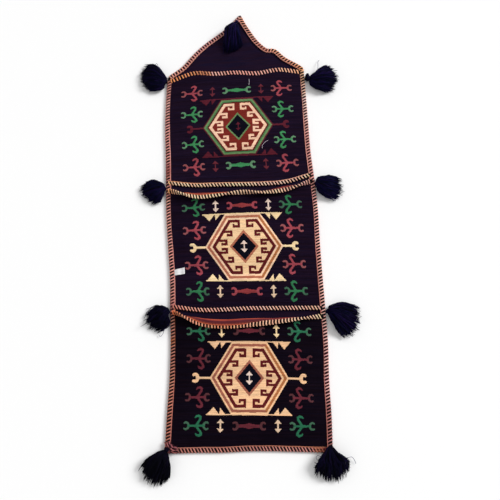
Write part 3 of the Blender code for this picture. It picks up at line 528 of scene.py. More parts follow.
def pocket_pattern(line_dye, bar_dye, arrow_dyes, column_dyes, middle, top_row=OUTER_ROW):
    """All shapes of a pocket, in the order in which they cover each other."""
    shapes = []
    for flip in (1, -1):
        shapes += [(mirrored(part, 1, flip), line_dye) for part in saw()]
        shapes += [(mirrored(part, flip, 1), line_dye) for part in fork()]
        row = top_row if flip > 0 else OUTER_ROW
        for parts, name in zip(bone(), (bar_dye, JAW_DYES[bar_dye])):
            shapes += [(moved(part, 0, flip * row), name) for part in parts]
        for y, column_dye in zip((top_row, INNER_ROW, -INNER_ROW, -OUTER_ROW), column_dyes):
            for parts, name in zip(creature()[::-1], (JAW_DYES[column_dye], column_dye)):
                shapes += [(moved(mirrored(part, -flip, 1), flip * CREATURE_X, y), name)
                           for part in parts]
        for side in (1, -1):
            shapes.append((moved(arrow(), side * ARROW_X, flip * row), arrow_dyes[flip < 0]))
    return shapes + middle


def widened(shapes, stretch):
    """Shapes drawn out across the pocket."""
    return [([(p[0] * stretch, *p[1:]) for p in shape], name) for shape, name in shapes]


def covered(shape, x, y):
    """True at the points that lie on a shape: an outline, or a stroke with half widths."""
    points = np.array(shape)
    if points.shape[1] == 2:
        inside = np.zeros(x.shape, bool)
        for (x0, y0), (x1, y1) in zip(points, np.roll(points, -1, 0)):
            if y0 != y1:
                crossing = (y0 > y) != (y1 > y)
                inside ^= crossing & (x < (x1 - x0) * (y - y0) / (y1 - y0) + x0)
        return inside
    inside = np.zeros(x.shape, bool)
    for (x0, y0, r0), (x1, y1, r1) in zip(points, points[1:]):
        dx = x1 - x0
        dy = y1 - y0
        t = np.clip(((x - x0) * dx + (y - y0) * dy) / (dx * dx + dy * dy), 0, 1)
        inside |= (x - x0 - dx * t) ** 2 + (y - y0 - dy * t) ** 2 < (r0 + (r1 - r0) * t) ** 2
    return inside


def weave_in(shapes, x, y):
    """Index of the shape that covers each woven point, or -1 on the ground."""
    cover = np.full(x.shape, -1)
    for index, (shape, name) in enumerate(shapes):
        points = np.array(shape)
        reach = points[:, 2].max() if points.shape[1] == 3 else 0.0
        near = ((x > points[:, 0].min() - reach) & (x < points[:, 0].max() + reach)
                & (y > points[:, 1].min() - reach) & (y < points[:, 1].max() + reach))
        spots = np.nonzero(near)
        cover[spots] = np.where(covered(shape, x[spots], y[spots]), index, cover[spots])
    return cover


# Meshes

def build_piece(name, verts, face_groups, colours, uvs, material):
    """Object from vertices and groups of faces, with one colour a face and UVs a corner."""
    faces = [face for group in face_groups for face in group.tolist()]
    mesh = bpy.data.meshes.new(name)
    mesh.from_pydata(verts.reshape(-1, 3).tolist(), [], faces)
    counts = np.concatenate([np.full(len(group), group.shape[1]) for group in face_groups])
    corner_colours = np.repeat(np.concatenate([colours, np.ones((len(colours), 1))], 1),
                               counts, axis=0)
    layer = mesh.color_attributes.new("yarn_colour", "FLOAT_COLOR", "CORNER")
    layer.data.foreach_set("color", corner_colours.astype(np.float32).ravel())
    uv_layer = mesh.uv_layers.new(name="weave")
    uv_layer.data.foreach_set("uv", uvs.astype(np.float32).ravel())
    mesh.shade_smooth()
    mesh.materials.append(material)
    piece = bpy.data.objects.new(name, mesh)
    bpy.context.scene.collection.objects.link(piece)
    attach(piece, "root")
    return piece


def grid_faces(columns, rows, start, flip):
    """Quads of a grid of columns by rows cells whose vertices run along x first."""
    i, j = np.meshgrid(np.arange(columns), np.arange(rows))
    a = start + j.ravel() * (columns + 1) + i.ravel()
    quads = np.stack([a, a + 1, a + columns + 2, a + columns + 1], 1)
    return quads[:, ::-1] if flip else quads


def rim_faces(columns, rows, kept_columns, kept_rows, start):
    """Faces, listed by their number of corners, between a fine upper and a coarse lower grid."""
    width = len(kept_columns)
    top_row = (len(kept_rows) - 1) * width

    def upper(i, j):
        return j * (columns + 1) + i

    faces = []
    for k, (a, b) in enumerate(zip(kept_columns, kept_columns[1:])):
        faces.append([start + k, start + k + 1] + [upper(i, 0) for i in range(b, a - 1, -1)])
        faces.append([start + top_row + k + 1, start + top_row + k]
                     + [upper(i, rows) for i in range(a, b + 1)])
    for k, (a, b) in enumerate(zip(kept_rows, kept_rows[1:])):
        near = start + k * width
        faces.append([near + width, near] + [upper(0, j) for j in range(a, b + 1)])
        faces.append([near + width - 1, near + 2 * width - 1]
                     + [upper(columns, j) for j in range(b, a - 1, -1)])
    sizes = sorted({len(face) for face in faces})
    return [np.array([face for face in faces if len(face) == size]) for size in sizes]


def closed_cloth(name, x, y, top, under, kept_columns, kept_rows, top_colours, under_colours,
                 material):
    """Closed sheet from a fine upper grid and the kept rows and columns of a lower one."""
    rows = x.shape[0] - 1
    columns = x.shape[1] - 1
    coarse = np.ix_(kept_rows, kept_columns)
    place = np.stack([x, y], -1)
    verts = np.concatenate([top.reshape(-1, 3), under[coarse].reshape(-1, 3)])
    place = np.concatenate([place.reshape(-1, 2), place[coarse].reshape(-1, 2)])
    start = (rows + 1) * (columns + 1)
    rim = rim_faces(columns, rows, kept_columns, kept_rows, start)
    groups = [grid_faces(columns, rows, 0, False),
              grid_faces(len(kept_columns) - 1, len(kept_rows) - 1, start, True), *rim]
    lower = under_colours[np.ix_(kept_rows[:-1], kept_columns[:-1])].reshape(-1, 3)
    edge = np.tile(lower.mean(0), (sum(len(group) for group in rim), 1))
    colours = np.concatenate([top_colours.reshape(-1, 3), lower, edge])
    uvs = np.concatenate([place[group.ravel()] for group in groups])
    return build_piece(name, verts, groups, colours, uvs, material)


def thread_mesh(centre, wide, thick, colours, closed, sides):
    """Arrays of many threads at once. centre, wide and thick are (threads, points, 3).

    colours holds one colour a thread, or one for each span of each thread.
    """
    count, points = centre.shape[:2]
    turn = 2 * math.pi * np.arange(sides) / sides
    verts = (centre[:, :, None] + wide[:, :, None] * np.cos(turn)[:, None]
             + thick[:, :, None] * np.sin(turn)[:, None])
    spans = points if closed else points - 1
    t, k, s = np.meshgrid(np.arange(count), np.arange(spans), np.arange(sides), indexing="ij")
    k_next = (k + 1) % points
    s_next = (s + 1) % sides

    def at(k_index, s_index):
        return ((t * points + k_index) * sides + s_index).ravel()

    quads = np.stack([at(k, s), at(k, s_next), at(k_next, s_next), at(k_next, s)], 1)
    step = np.linalg.norm(np.diff(centre, axis=1), axis=2)
    length = np.concatenate([np.zeros((count, 1)), np.cumsum(step, 1)], 1)
    span = np.concatenate([step, step[:, :1]], 1)
    u0 = length[t, k].ravel()
    u1 = (length[t, k] + span[t, k]).ravel()
    v0 = (s / sides).ravel()
    v1 = ((s + 1) / sides).ravel()
    uvs = np.stack([u0, v0, u0, v1, u1, v1, u1, v0], 1).reshape(-1, 2)
    along_threads = np.broadcast_to(colours.reshape(count, -1, 3), (count, spans, 3))
    colour = np.repeat(along_threads.reshape(-1, 3), sides, axis=0)
    groups = [quads]
    heading = np.einsum("ij,ij->i", np.cross(wide[:, 0], thick[:, 0]), centre[:, 1] - centre[:, 0])
    if not closed:
        first = (np.arange(count) * points * sides)[:, None] + np.arange(sides)[::-1]
        last = first + (points - 1) * sides
        groups += [first, last[:, ::-1]]
        colour = np.concatenate([colour, along_threads[:, 0], along_threads[:, -1]])
        uvs = np.concatenate([uvs, np.zeros((2 * count * sides, 2))])
    if heading.mean() < 0:
        groups = [group[:, ::-1] for group in groups]
        uvs = uvs.reshape(-1, 2)
        uvs[:len(quads) * 4] = uvs[:len(quads) * 4].reshape(-1, 4, 2)[:, ::-1].reshape(-1, 2)
    return verts.reshape(-1, 3), groups, colour, uvs


def thread_piece(name, parts, material):
    """One object from several thread meshes."""
    verts = []
    by_size = {}
    start = 0
    for part_verts, groups, colours, uvs in parts:
        face = 0
        corner = 0
        for group in groups:
            size = group.shape[1]
            block = by_size.setdefault(size, [[], [], []])
            block[0].append(group + start)
            block[1].append(colours[face:face + len(group)])
            block[2].append(uvs[corner:corner + group.size])
            face += len(group)
            corner += group.size
        verts.append(part_verts)
        start += len(part_verts)
    groups = [np.concatenate(block[0]) for block in by_size.values()]
    colours = np.concatenate([c for block in by_size.values() for c in block[1]])
    uvs = np.concatenate([u for block in by_size.values() for u in block[2]])
    return build_piece(name, np.concatenate(verts), groups, colours, uvs, material)


# Materials

def new_material(name, roughness):
    material = bpy.data.materials.new(name)
    material.use_nodes = True
    tree = material.node_tree
    shader = tree.nodes["Principled BSDF"]
    shader.inputs["Roughness"].default_value = roughness
    return material, tree, shader


def yarn_inputs(tree):
    """Yarn colour, weave coordinates and each of the two coordinates by itself."""
    colour = tree.nodes.new("ShaderNodeAttribute")
    colour.attribute_name = "yarn_colour"
    weave = tree.nodes.new("ShaderNodeUVMap")
    weave.uv_map = "weave"
    parts = tree.nodes.new("ShaderNodeSeparateXYZ")
    tree.links.new(weave.outputs["UV"], parts.inputs[0])
    return colour.outputs["Color"], weave.outputs["UV"], parts.outputs["X"], parts.outputs["Y"]


def link_math(tree, operation, first, second=0.0):
    node = tree.nodes.new("ShaderNodeMath")
    node.operation = operation
    for socket, value in zip(node.inputs, (first, second)):
        if isinstance(value, (int, float)):
            socket.default_value = value
        else:
            tree.links.new(value, socket)
    return node.outputs[0]


def scaled_noise(tree, coordinate, scale, detail, roughness):
    """Noise on a coordinate stretched by its own scale along each axis."""
    mapping = tree.nodes.new("ShaderNodeMapping")
    mapping.inputs["Scale"].default_value = scale
    tree.links.new(coordinate, mapping.inputs["Vector"])
    noise = tree.nodes.new("ShaderNodeTexNoise")
    noise.inputs["Scale"].default_value = 1.0
    noise.inputs["Detail"].default_value = detail
    noise.inputs["Roughness"].default_value = roughness
    tree.links.new(mapping.outputs["Vector"], noise.inputs["Vector"])
    return noise.outputs["Fac"]


def shaded_yarn(tree, colour, noise, low, high):
    """Yarn colour made darker and lighter by a noise."""
    spread = tree.nodes.new("ShaderNodeMapRange")
    spread.inputs["From Min"].default_value = 0.3
    spread.inputs["From Max"].default_value = 0.7
    spread.inputs["To Min"].default_value = low
    spread.inputs["To Max"].default_value = high
    tree.links.new(noise, spread.inputs["Value"])
    mix = tree.nodes.new("ShaderNodeVectorMath")
    mix.operation = "SCALE"
    tree.links.new(colour, mix.inputs[0])
    tree.links.new(spread.outputs["Result"], mix.inputs["Scale"])
    return mix.outputs["Vector"]


def add_bump(tree, shader, height, distance, strength):
    bump = tree.nodes.new("ShaderNodeBump")
    bump.inputs["Distance"].default_value = distance
    bump.inputs["Strength"].default_value = strength
    tree.links.new(height, bump.inputs["Height"])
    tree.links.new(bump.outputs["Normal"], shader.inputs["Normal"])


def cloth_material(name, streak):
    """Weft-faced kilim weave: its own colours, streaks along the weft, ribs and a little fuzz."""
    material, tree, shader = new_material(name, 0.88)
    colour, weave, across_weave, along_weave = yarn_inputs(tree)
    streaks = scaled_noise(tree, weave, (38.0, 620.0, 1.0), 4.0, 0.65)
    fuzz = scaled_noise(tree, weave, (700.0, 900.0, 1.0), 2.0, 0.6)
    toned = shaded_yarn(tree, colour, streaks, 1 - streak, 1 + streak)
    toned = shaded_yarn(tree, toned, fuzz, 0.86, 1.14)
    tree.links.new(toned, shader.inputs["Base Color"])
    warp = link_math(tree, "SINE", link_math(tree, "MULTIPLY", across_weave, 2513.0))
    weft = link_math(tree, "SINE", link_math(tree, "MULTIPLY", along_weave, 4488.0))
    rib = link_math(tree, "ADD", link_math(tree, "MULTIPLY", warp, 0.35),
                    link_math(tree, "MULTIPLY", weft, 0.45))
    add_bump(tree, shader, link_math(tree, "ADD", rib, fuzz), 0.0004, 0.5)
    shader.inputs["Specular IOR Level"].default_value = 0.02
    return material


def thread_material(name, plies, tone, roughness, specular):
    """Plied wool thread: its own colour, a twist along it, and fibres."""
    material, tree, shader = new_material(name, roughness)
    colour, weave, along_thread, round_thread = yarn_inputs(tree)
    coordinates = tree.nodes.new("ShaderNodeTexCoord")
    fibres = scaled_noise(tree, coordinates.outputs["Object"], (900.0, 900.0, 900.0), 3.0, 0.6)
    toned = shaded_yarn(tree, colour, fibres, 1 - tone, 1 + tone)
    tree.links.new(toned, shader.inputs["Base Color"])
    wound = link_math(tree, "ADD", link_math(tree, "MULTIPLY", along_thread, 1800.0),
                      link_math(tree, "MULTIPLY", round_thread, 2 * math.pi * plies))
    height = link_math(tree, "ADD", link_math(tree, "SINE", wound), fibres)
    add_bump(tree, shader, height, 0.0003, 0.55)
    shader.inputs["Specular IOR Level"].default_value = specular
    return material


def tape_material():
    """Smooth white tape with a fine woven grain."""
    material, tree, shader = new_material("white_tape", 0.6)
    coordinates = tree.nodes.new("ShaderNodeTexCoord")
    grain = scaled_noise(tree, coordinates.outputs["Object"], (1500.0, 1500.0, 1500.0), 2.0, 0.5)
    base = tree.nodes.new("ShaderNodeRGB")
    base.outputs[0].default_value = (0.80, 0.79, 0.80, 1.0)
    toned = shaded_yarn(tree, base.outputs[0], grain, 0.96, 1.04)
    tree.links.new(toned, shader.inputs["Base Color"])
    add_bump(tree, shader, grain, 0.0001, 0.4)
    return material


KILIM = cloth_material("woven_kilim", 0.30)
OVERCAST = thread_material("overcast_wool", 2, 0.14, 0.75, 0.10)
TASSEL_WOOL = thread_material("tassel_wool", 2, 0.35, 0.8, 0.05)
TAPE = tape_material()


# Woven pieces

CELL_COLUMNS = 290
CELL_ROWS = 265
LIP_ROWS = 40
WEFT_STEP = 0.0012
END_BAND = 0.045
FRONT_SWELL = 0.0022
FLAP_SWELL = 0.0024


def yarn_tones(cover, shapes, ground, x, y, seed):
    """Colour of each woven cell: its dye with abrash from weft to weft and heathered yarn."""
    rng = np.random.default_rng(seed)
    colours = np.empty((*cover.shape, 3))
    colours[:] = ground
    for index, (shape, name) in enumerate(shapes):
        colours[cover == index] = DYES[name]
    weft = np.round(y / WEFT_STEP)
    band = 1 + 0.10 * drift(y, seed, 0.030) + 0.08 * drift(y, seed + 1, 0.007)
    streak = drift(x * 0.2 + weft * 7.3, seed + 2, 0.012)
    warmth = drift(x * 0.12 + weft * 3.1, seed + 3, 0.009)[..., None] * np.array([0.22, 0.0, -0.16])
    plain = cover < 0
    depth = np.where(plain, 0.34, 0.12)
    heather = rng.normal(1.0, 0.06, cover.shape)
    colours = colours * (band * (1 + depth * streak) * heather)[..., None]
    return colours * (1 + np.where(plain, 1.0, 0.3)[..., None] * warmth)


def pocket_front(name, front, shapes, ground, centre, aside, lean, seed):
    """Pocket front of kilim with its raised pattern and its rolled lip."""
    half = PANEL_HALF + 0.0015
    columns = np.linspace(-half, half, CELL_COLUMNS + 1)
    low = front.foot(columns) - 0.0030
    high = front.edge(columns) + 0.0020
    share = np.linspace(0, 1, CELL_ROWS + 1)[:, None]
    x = np.broadcast_to(columns, (CELL_ROWS + 1, CELL_COLUMNS + 1))
    y = low + (high - low) * share
    cell_x = (x[:-1, :-1] + x[1:, 1:]) / 2
    cell_y = (y[:-1, :-1] + y[1:, :-1] + y[:-1, 1:] + y[1:, 1:]) / 4
    from_centre = cell_y - centre
    cover = weave_in(shapes, cell_x - aside + lean * from_centre, from_centre)
    raised = np.zeros((CELL_ROWS + 2, CELL_COLUMNS + 2))
    raised[1:-1, 1:-1] = cover >= 0
    raised = (raised[:-1, :-1] + raised[1:, :-1] + raised[:-1, 1:] + raised[1:, 1:]) / 4
    calm = np.clip(np.minimum(share, 1 - share) * 6, 0, 1) * np.clip((half - abs(x)) / 0.03, 0, 1)
    wave = FRONT_SWELL * swell(x, y, seed, 0.075) * calm
    top = front.point(x, y, CLOTH + RELIEF * raised + wave)
    under = front.point(x, y, wave)
    colours = yarn_tones(cover, shapes, ground, cell_x, cell_y, seed)
    lining = lining_tones(front, ground, cell_x, cell_y, seed)
    kept_rows = [*range(0, CELL_ROWS - LIP_ROWS, 5), *range(CELL_ROWS - LIP_ROWS, CELL_ROWS + 1)]
    return closed_cloth(name, x, y, top, under, list(range(0, CELL_COLUMNS + 1, 2)), kept_rows,
                        colours, lining, KILIM)


def lining_tones(front, ground, x, y, seed):
    """Reverse of a pocket front: striped end band along the mouth, with a pink line on its fold that is
    a painted highlight.
    """
    from_edge = front.edge(x) - y
    fold = np.maximum(front.edge(x) - front.crest(x) - LIP_RADIUS * 1.35, 0.0035)
    share = np.clip(from_edge / fold, 0, 1.6) + 0.22 * drift(from_edge, seed + 5, 0.0022)
    share = share + 0.18 * drift(x, seed + 6, 0.03)
    colours = blend(share, (0.0, 0.3, 0.45, 0.7, 0.95, 1.3),
                    (dye(96, 42, 50), dye(118, 50, 54), dye(164, 68, 54), dye(194, 92, 68),
                     dye(204, 94, 76), dye(130, 56, 54)))
    # Painted highlight: a pale pink line along the fold of the rolled lip
    light = np.exp(-((from_edge - fold) / 0.0012) ** 2)[..., None]
    colours = colours + (dye(232, 142, 130) - colours) * light * 0.9
    return np.where((from_edge < END_BAND)[..., None], colours, ground * 0.8)


def catmull(points, spacing):
    """Points along a smooth curve through points, at about a spacing."""
    points = np.array(points, float)
    drawn = drawn_out(points)
    fine = []
    for i in range(1, len(drawn) - 2):
        p0, p1, p2, p3 = drawn[i - 1:i + 3]
        steps = max(1, round(float(np.linalg.norm(p2 - p1)) / spacing))
        for k in range(steps):
            fine.append(curve_point(p0, p1, p2, p3, k / steps))
    return np.array(fine + [points[-1]])


def flap_lines(spacing):
    """Middle lines of the flap's two overcast slopes, each from its shoulder to the point."""
    shoulder = np.array([0, SHOULDER_Y])
    left = [(-EDGE_LINE_X, SEWN_GAP), *FLAP_LEFT_EDGE, FLAP_POINT]
    right = [(EDGE_LINE_X, SEWN_GAP), *FLAP_RIGHT_EDGE[::-1], FLAP_POINT]
    return catmull(left, spacing) + shoulder, catmull(right, spacing) + shoulder


def back_panel():
    """Back strip of plain dark kilim with its pointed flap."""
    rows = 280
    columns = 84
    left, right = flap_lines(0.002)
    y = np.linspace(HALF_BINDING - 0.001, left[-1][1] - 0.004, rows + 1)[:, None]
    side = HALF_WIDTH - BINDING_WIDTH + 0.0020
    low = np.where(y < SHOULDER_Y, -side, np.interp(y, left[:, 1], left[:, 0]) + 0.004)
    high = np.where(y < SHOULDER_Y, side, np.interp(y, right[:, 1], right[:, 0]) - 0.004)
    share = np.linspace(0, 1, columns + 1)
    x = low + (high - low) * share
    y = np.broadcast_to(y, x.shape)
    y = y + across(HEM_LINE, x) * np.clip(1 - y / 0.05, 0, 1)
    calm = np.clip(np.minimum(share, 1 - share) * 6, 0, 1)
    flap_share = np.clip((y - SHOULDER_Y) / 0.03, 0, 1) * np.clip((BACK_LENGTH - y) / 0.05, 0, 1)
    wave = FLAP_SWELL * swell(x, y, 71, 0.07) * calm * flap_share
    top = lay(x, y, CLOTH + wave)
    under = lay(x, y, wave * 0.8)
    cell_y = (y[:-1, :-1] + y[1:, 1:]) / 2
    tone = 1 + 0.16 * drift(cell_y, 72, 0.045) + 0.10 * drift(cell_y, 73, 0.010)
    warmth = drift(x[:-1, :-1] * 0.2 + np.round(cell_y / WEFT_STEP) * 3.1, 74, 0.009)[..., None]
    colours = dye(29, 18, 38) * tone[..., None] * (1 + warmth * np.array([0.22, 0.0, -0.14]))
    return closed_cloth("woven_back", x, y, top, under, list(range(columns + 1)),
                        list(range(rows + 1)), colours, colours * 0.9, KILIM)


# Overcast edges

def unit(vectors):
    return vectors / np.linalg.norm(vectors, axis=-1, keepdims=True)


def framed_line(points, outwards, ups=(0.0, 0.0, 1.0)):
    """Line with, at each point, the direction across it and the direction up from the cloth."""
    step = np.linalg.norm(np.diff(points, axis=0), axis=1)
    return {"place": np.concatenate([[0], np.cumsum(step)]), "points": points,
            "across": np.broadcast_to(outwards, points.shape),
            "up": np.broadcast_to(ups, points.shape)}


def on_line(line, place, key):
    return np.stack([np.interp(place, line["place"], line[key][:, k]) for k in range(3)], -1)


def tones_along(palette, share):
    """Colours along a binding, one for each tone in a list of (share, tone, ...)."""
    stops, *columns = zip(*palette)
    return [blend(share, stops, tones) for tones in columns]


def wound_threads(line, half_width, half_height, hand, lean, palette, seed, light_share,
                  pair=STITCH_PAIR, opening=0.0):
    """A light and a dark thread wound side by side round an edge, flat as they are pulled tight.

    pair is the length of one light and one dark stitch, which grows by opening to the far end.
    """
    rng = np.random.default_rng(seed)
    length = line["place"][-1]
    turns = max(2, round(length / pair))
    pitch = length / turns
    narrowed = math.cos(math.atan(abs(lean) + pitch / (4 * half_width)))
    steps = 14
    parts = []
    light, dark = tones_along(palette, (np.arange(turns) + 0.5) / turns)
    for tones, shift, share, thick, sink in ((light, 0.0, light_share, 0.0011, 0.0),
                                             (dark, 0.5, 1.06 - light_share, 0.0006, 0.0009)):
        wound = np.arange(turns * steps + 1) / steps
        turn = 2 * math.pi * wound * hand
        uneven = 0.06 * drift(wound, seed + 3, 0.6)
        room_a = half_width - thick - sink
        room_h = half_height - thick - sink
        a = room_a * np.sign(np.cos(turn)) * np.abs(np.cos(turn)) ** 0.75
        h = room_h * np.sign(np.sin(turn)) * np.abs(np.sin(turn)) ** 0.75
        spot = (wound + shift - 0.25 + uneven) / turns
        place = np.clip((spot + opening / 2 * spot * (spot - 1)) * length + lean * a, 0.0, length)
        outwards = on_line(line, place, "across")
        up = on_line(line, place, "up")
        centre = on_line(line, place, "points") + outwards * a[:, None] + up * h[:, None]
        normal = (outwards * (np.cos(turn) / half_width)[:, None]
                  + up * (np.sin(turn) / half_height)[:, None])
        normal = unit(normal)
        wide = unit(np.cross(normal, np.gradient(centre, axis=0)))
        stitch = np.minimum(wound[:-1].astype(int), turns - 1)
        tones = tones * rng.normal(1.0, 0.09, (turns, 1)) * rng.normal(1.0, 0.03, (turns, 3))
        tones = np.clip(tones, 0.002, 0.95)[stitch]
        width = pitch * narrowed * share / 2 * (1 + opening * (spot - 0.5))[:, None]
        width = width * (1 + 0.10 * drift(wound, seed + 4, 0.9))[:, None]
        parts.append(thread_mesh(centre[None], (wide * width)[None], (normal * thick)[None],
                                 tones[None], False, 6))
    return parts


def core_thread(line, half_width, half_height, colour):
    """Dark padding cord inside a binding."""
    points = line["points"][None]
    return thread_mesh(points, line["across"][None] * half_width * 0.80,
                       line["up"][None] * half_height * 0.80, colour[None], False, 8)


def laid_thread(line, off_across, off_up, radius, tones, seed, span=(0.0, 1.0)):
    """Smooth thread laid along a binding, pinched by its stitches; tones are (share, colour)."""
    length = line["place"][-1]
    place = np.arange(span[0] * length, span[1] * length, 0.0012)
    outwards = on_line(line, place, "across")
    up = on_line(line, place, "up")
    wander = 0.0003 * drift(place, seed, 0.02)[:, None]
    points = on_line(line, place, "points") + outwards * (off_across + wander) + up * off_up
    ends = np.clip(np.minimum(place - place[0], place[-1] - place) / 0.012, 0.25, 1)
    beads = radius * (ends * (1 + 0.14 * np.cos(2 * math.pi * place / STITCH_PAIR)))[:, None]
    colours, = tones_along(tones, (place[:-1] + place[1:]) / 2 / length)
    return thread_mesh(points[None], (outwards * beads)[None], (up * beads)[None], colours[None],
                       False, 8)


def side_line(side):
    """Side edge from the hem corner to the shoulder."""
    y = np.arange(-HALF_BINDING, SHOULDER_Y + 0.0021, 0.002)
    points = lay(side * EDGE_LINE_X, y, EDGE_THICKNESS / 2)
    outside = lay(side * HALF_WIDTH, y, EDGE_THICKNESS / 2)
    return framed_line(points, unit(outside - points))


def flap_line(points, side, reach):
    """One slope of the flap as a framed line, drawn out past its last point by reach."""
    run = points[-1] - points[-2]
    points = np.concatenate([points, [points[-1] + run / np.linalg.norm(run) * reach]])
    places = lay(points[:, 0], points[:, 1], EDGE_THICKNESS / 2)
    along = unit(np.gradient(places, axis=0))
    return framed_line(places, np.stack([along[:, 1], -along[:, 0], along[:, 2]], 1) * side)


def over_side(x):
    """Rises from 0 to 1 where a seam climbs on to a side edge."""
    return np.clip((abs(x) - PANEL_HALF + 0.002) / 0.004, 0, 1)


def foot_line(row, values, base, thickness, past):
    """Seam at the foot of a pocket, drawn out past its ends over the side edges."""
    x = np.linspace(-PANEL_HALF - past, PANEL_HALF + past, 180)
    lift = 0.0018 * over_side(x)
    points = lay(x, row * POCKET_PITCH + across(values, x), base + thickness / 2 + lift)
    return framed_line(points, (0.0, 1.0, 0.0))


def mouth_line(front, past):
    """Free edge of a pocket front, turned as the cloth turns."""
    x = np.linspace(-PANEL_HALF - past, PANEL_HALF + past, 180)
    along, up, turn = front.profile(x, front.edge(x))
    lift = 0.0014 * over_side(x)
    reach = CLOTH / 2
    y = front.base_y + along - reach * np.sin(turn) + MOUTH_OFFSET * np.cos(turn)
    z = up + reach * np.cos(turn) + MOUTH_OFFSET * np.sin(turn) + lift
    zero = np.zeros_like(x)
    return framed_line(lay(x, y, z), np.stack([zero, np.cos(turn), np.sin(turn)], 1),
                       np.stack([zero, -np.sin(turn), np.cos(turn)], 1))


def side_edge(hand, side, palette, inner_tones):
    """Overcast side edge with its smooth inner thread, which shows above and below."""
    line = side_line(side)
    half_height = EDGE_THICKNESS / 2
    parts = wound_threads(line, HALF_BINDING, half_height, -side, STITCH_LEAN * side, palette,
                          20 + side, 0.44, 0.0076, 0.13)
    parts.append(core_thread(line, HALF_BINDING, half_height, SOOT))
    for up in (1, -1):
        parts.append(laid_thread(line, -HALF_BINDING + 0.0009, up * 0.0022, 0.0010, inner_tones, 30))
    piece = thread_piece("overcast_side_" + hand, parts, OVERCAST)
    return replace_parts(piece, "side_binding_" + hand)


def flap_edge(left_tones, right_tones, inner_tones):
    """Overcast slopes of the flap; the right one runs on past the point."""
    left, right = flap_lines(0.0025)
    half_height = EDGE_THICKNESS / 2
    parts = []
    for points, side, tones, seed, reach in ((left, -1, left_tones, 41, 0.001),
                                             (right, 1, right_tones, 42, 0.005)):
        line = flap_line(points, side, reach)
        parts += wound_threads(line, HALF_BINDING, half_height, side, -0.12, tones, seed, 0.45, 0.0080)
        parts.append(core_thread(line, HALF_BINDING, half_height, SOOT))
        parts.append(laid_thread(line, -HALF_BINDING + 0.0009, 0.0022, 0.0010, inner_tones, seed))
    piece = thread_piece("overcast_flap", parts, OVERCAST)
    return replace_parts(piece, "flap_binding")


def cross_edge(name, node, line, half_width, thickness, palette, seed, light_share, lean,
               pair=STITCH_PAIR, top_tones=None, rolled=()):
    """Overcast seam or mouth across a pocket, with the smooth threads that lie along it.

    rolled lists, for a mouth, threads on its turned side: (across, radius, span, tones).
    """
    half_height = thickness / 2
    parts = wound_threads(line, half_width, half_height, 1, lean, palette, seed, light_share, pair)
    parts.append(core_thread(line, half_width, half_height, SOOT))
    if top_tones:
        parts.append(laid_thread(line, half_width - 0.0010, half_height - 0.0013, 0.0009,
                                 top_tones, seed))
    for off_across, radius, span, tones in rolled:
        parts.append(laid_thread(line, off_across, -half_height + radius * 0.4, radius, tones,
                                 seed, span))
    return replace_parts(thread_piece(name, parts, OVERCAST), node)


def corner_knot():
    """Twisted threads that turn the left hem corner."""
    parts = []
    turn = np.radians(np.linspace(186, 278, 22))
    for reach, radius, tone in ((0.0132, 0.0016, dye(40, 12, 20)), (0.0158, 0.0017, dye(160, 92, 98)),
                                (0.0186, 0.0018, dye(46, 14, 24)), (0.0212, 0.0016, dye(172, 104, 104)),
                                (0.0238, 0.0017, dye(38, 12, 20)), (0.0258, 0.0014, dye(150, 84, 80))):
        wander = 0.0011 * np.sin(turn * 9 + reach * 900)
        x = -HALF_WIDTH + 0.0262 + (reach + wander) * np.cos(turn)
        y = 0.0200 + (reach + wander) * np.sin(turn)
        height = EDGE_THICKNESS + 0.0004 + 0.0006 * np.sin(turn * 11 + reach * 500)
        parts.append(yarn_tubes(lay(x, y, height)[None], np.array([radius]), tone[None], 8,
                                np.interp(np.arange(22), (0, 3, 18, 21), (0.4, 1, 1, 0.4))))
    return thread_piece("corner_knot", parts, OVERCAST)


# Tassels

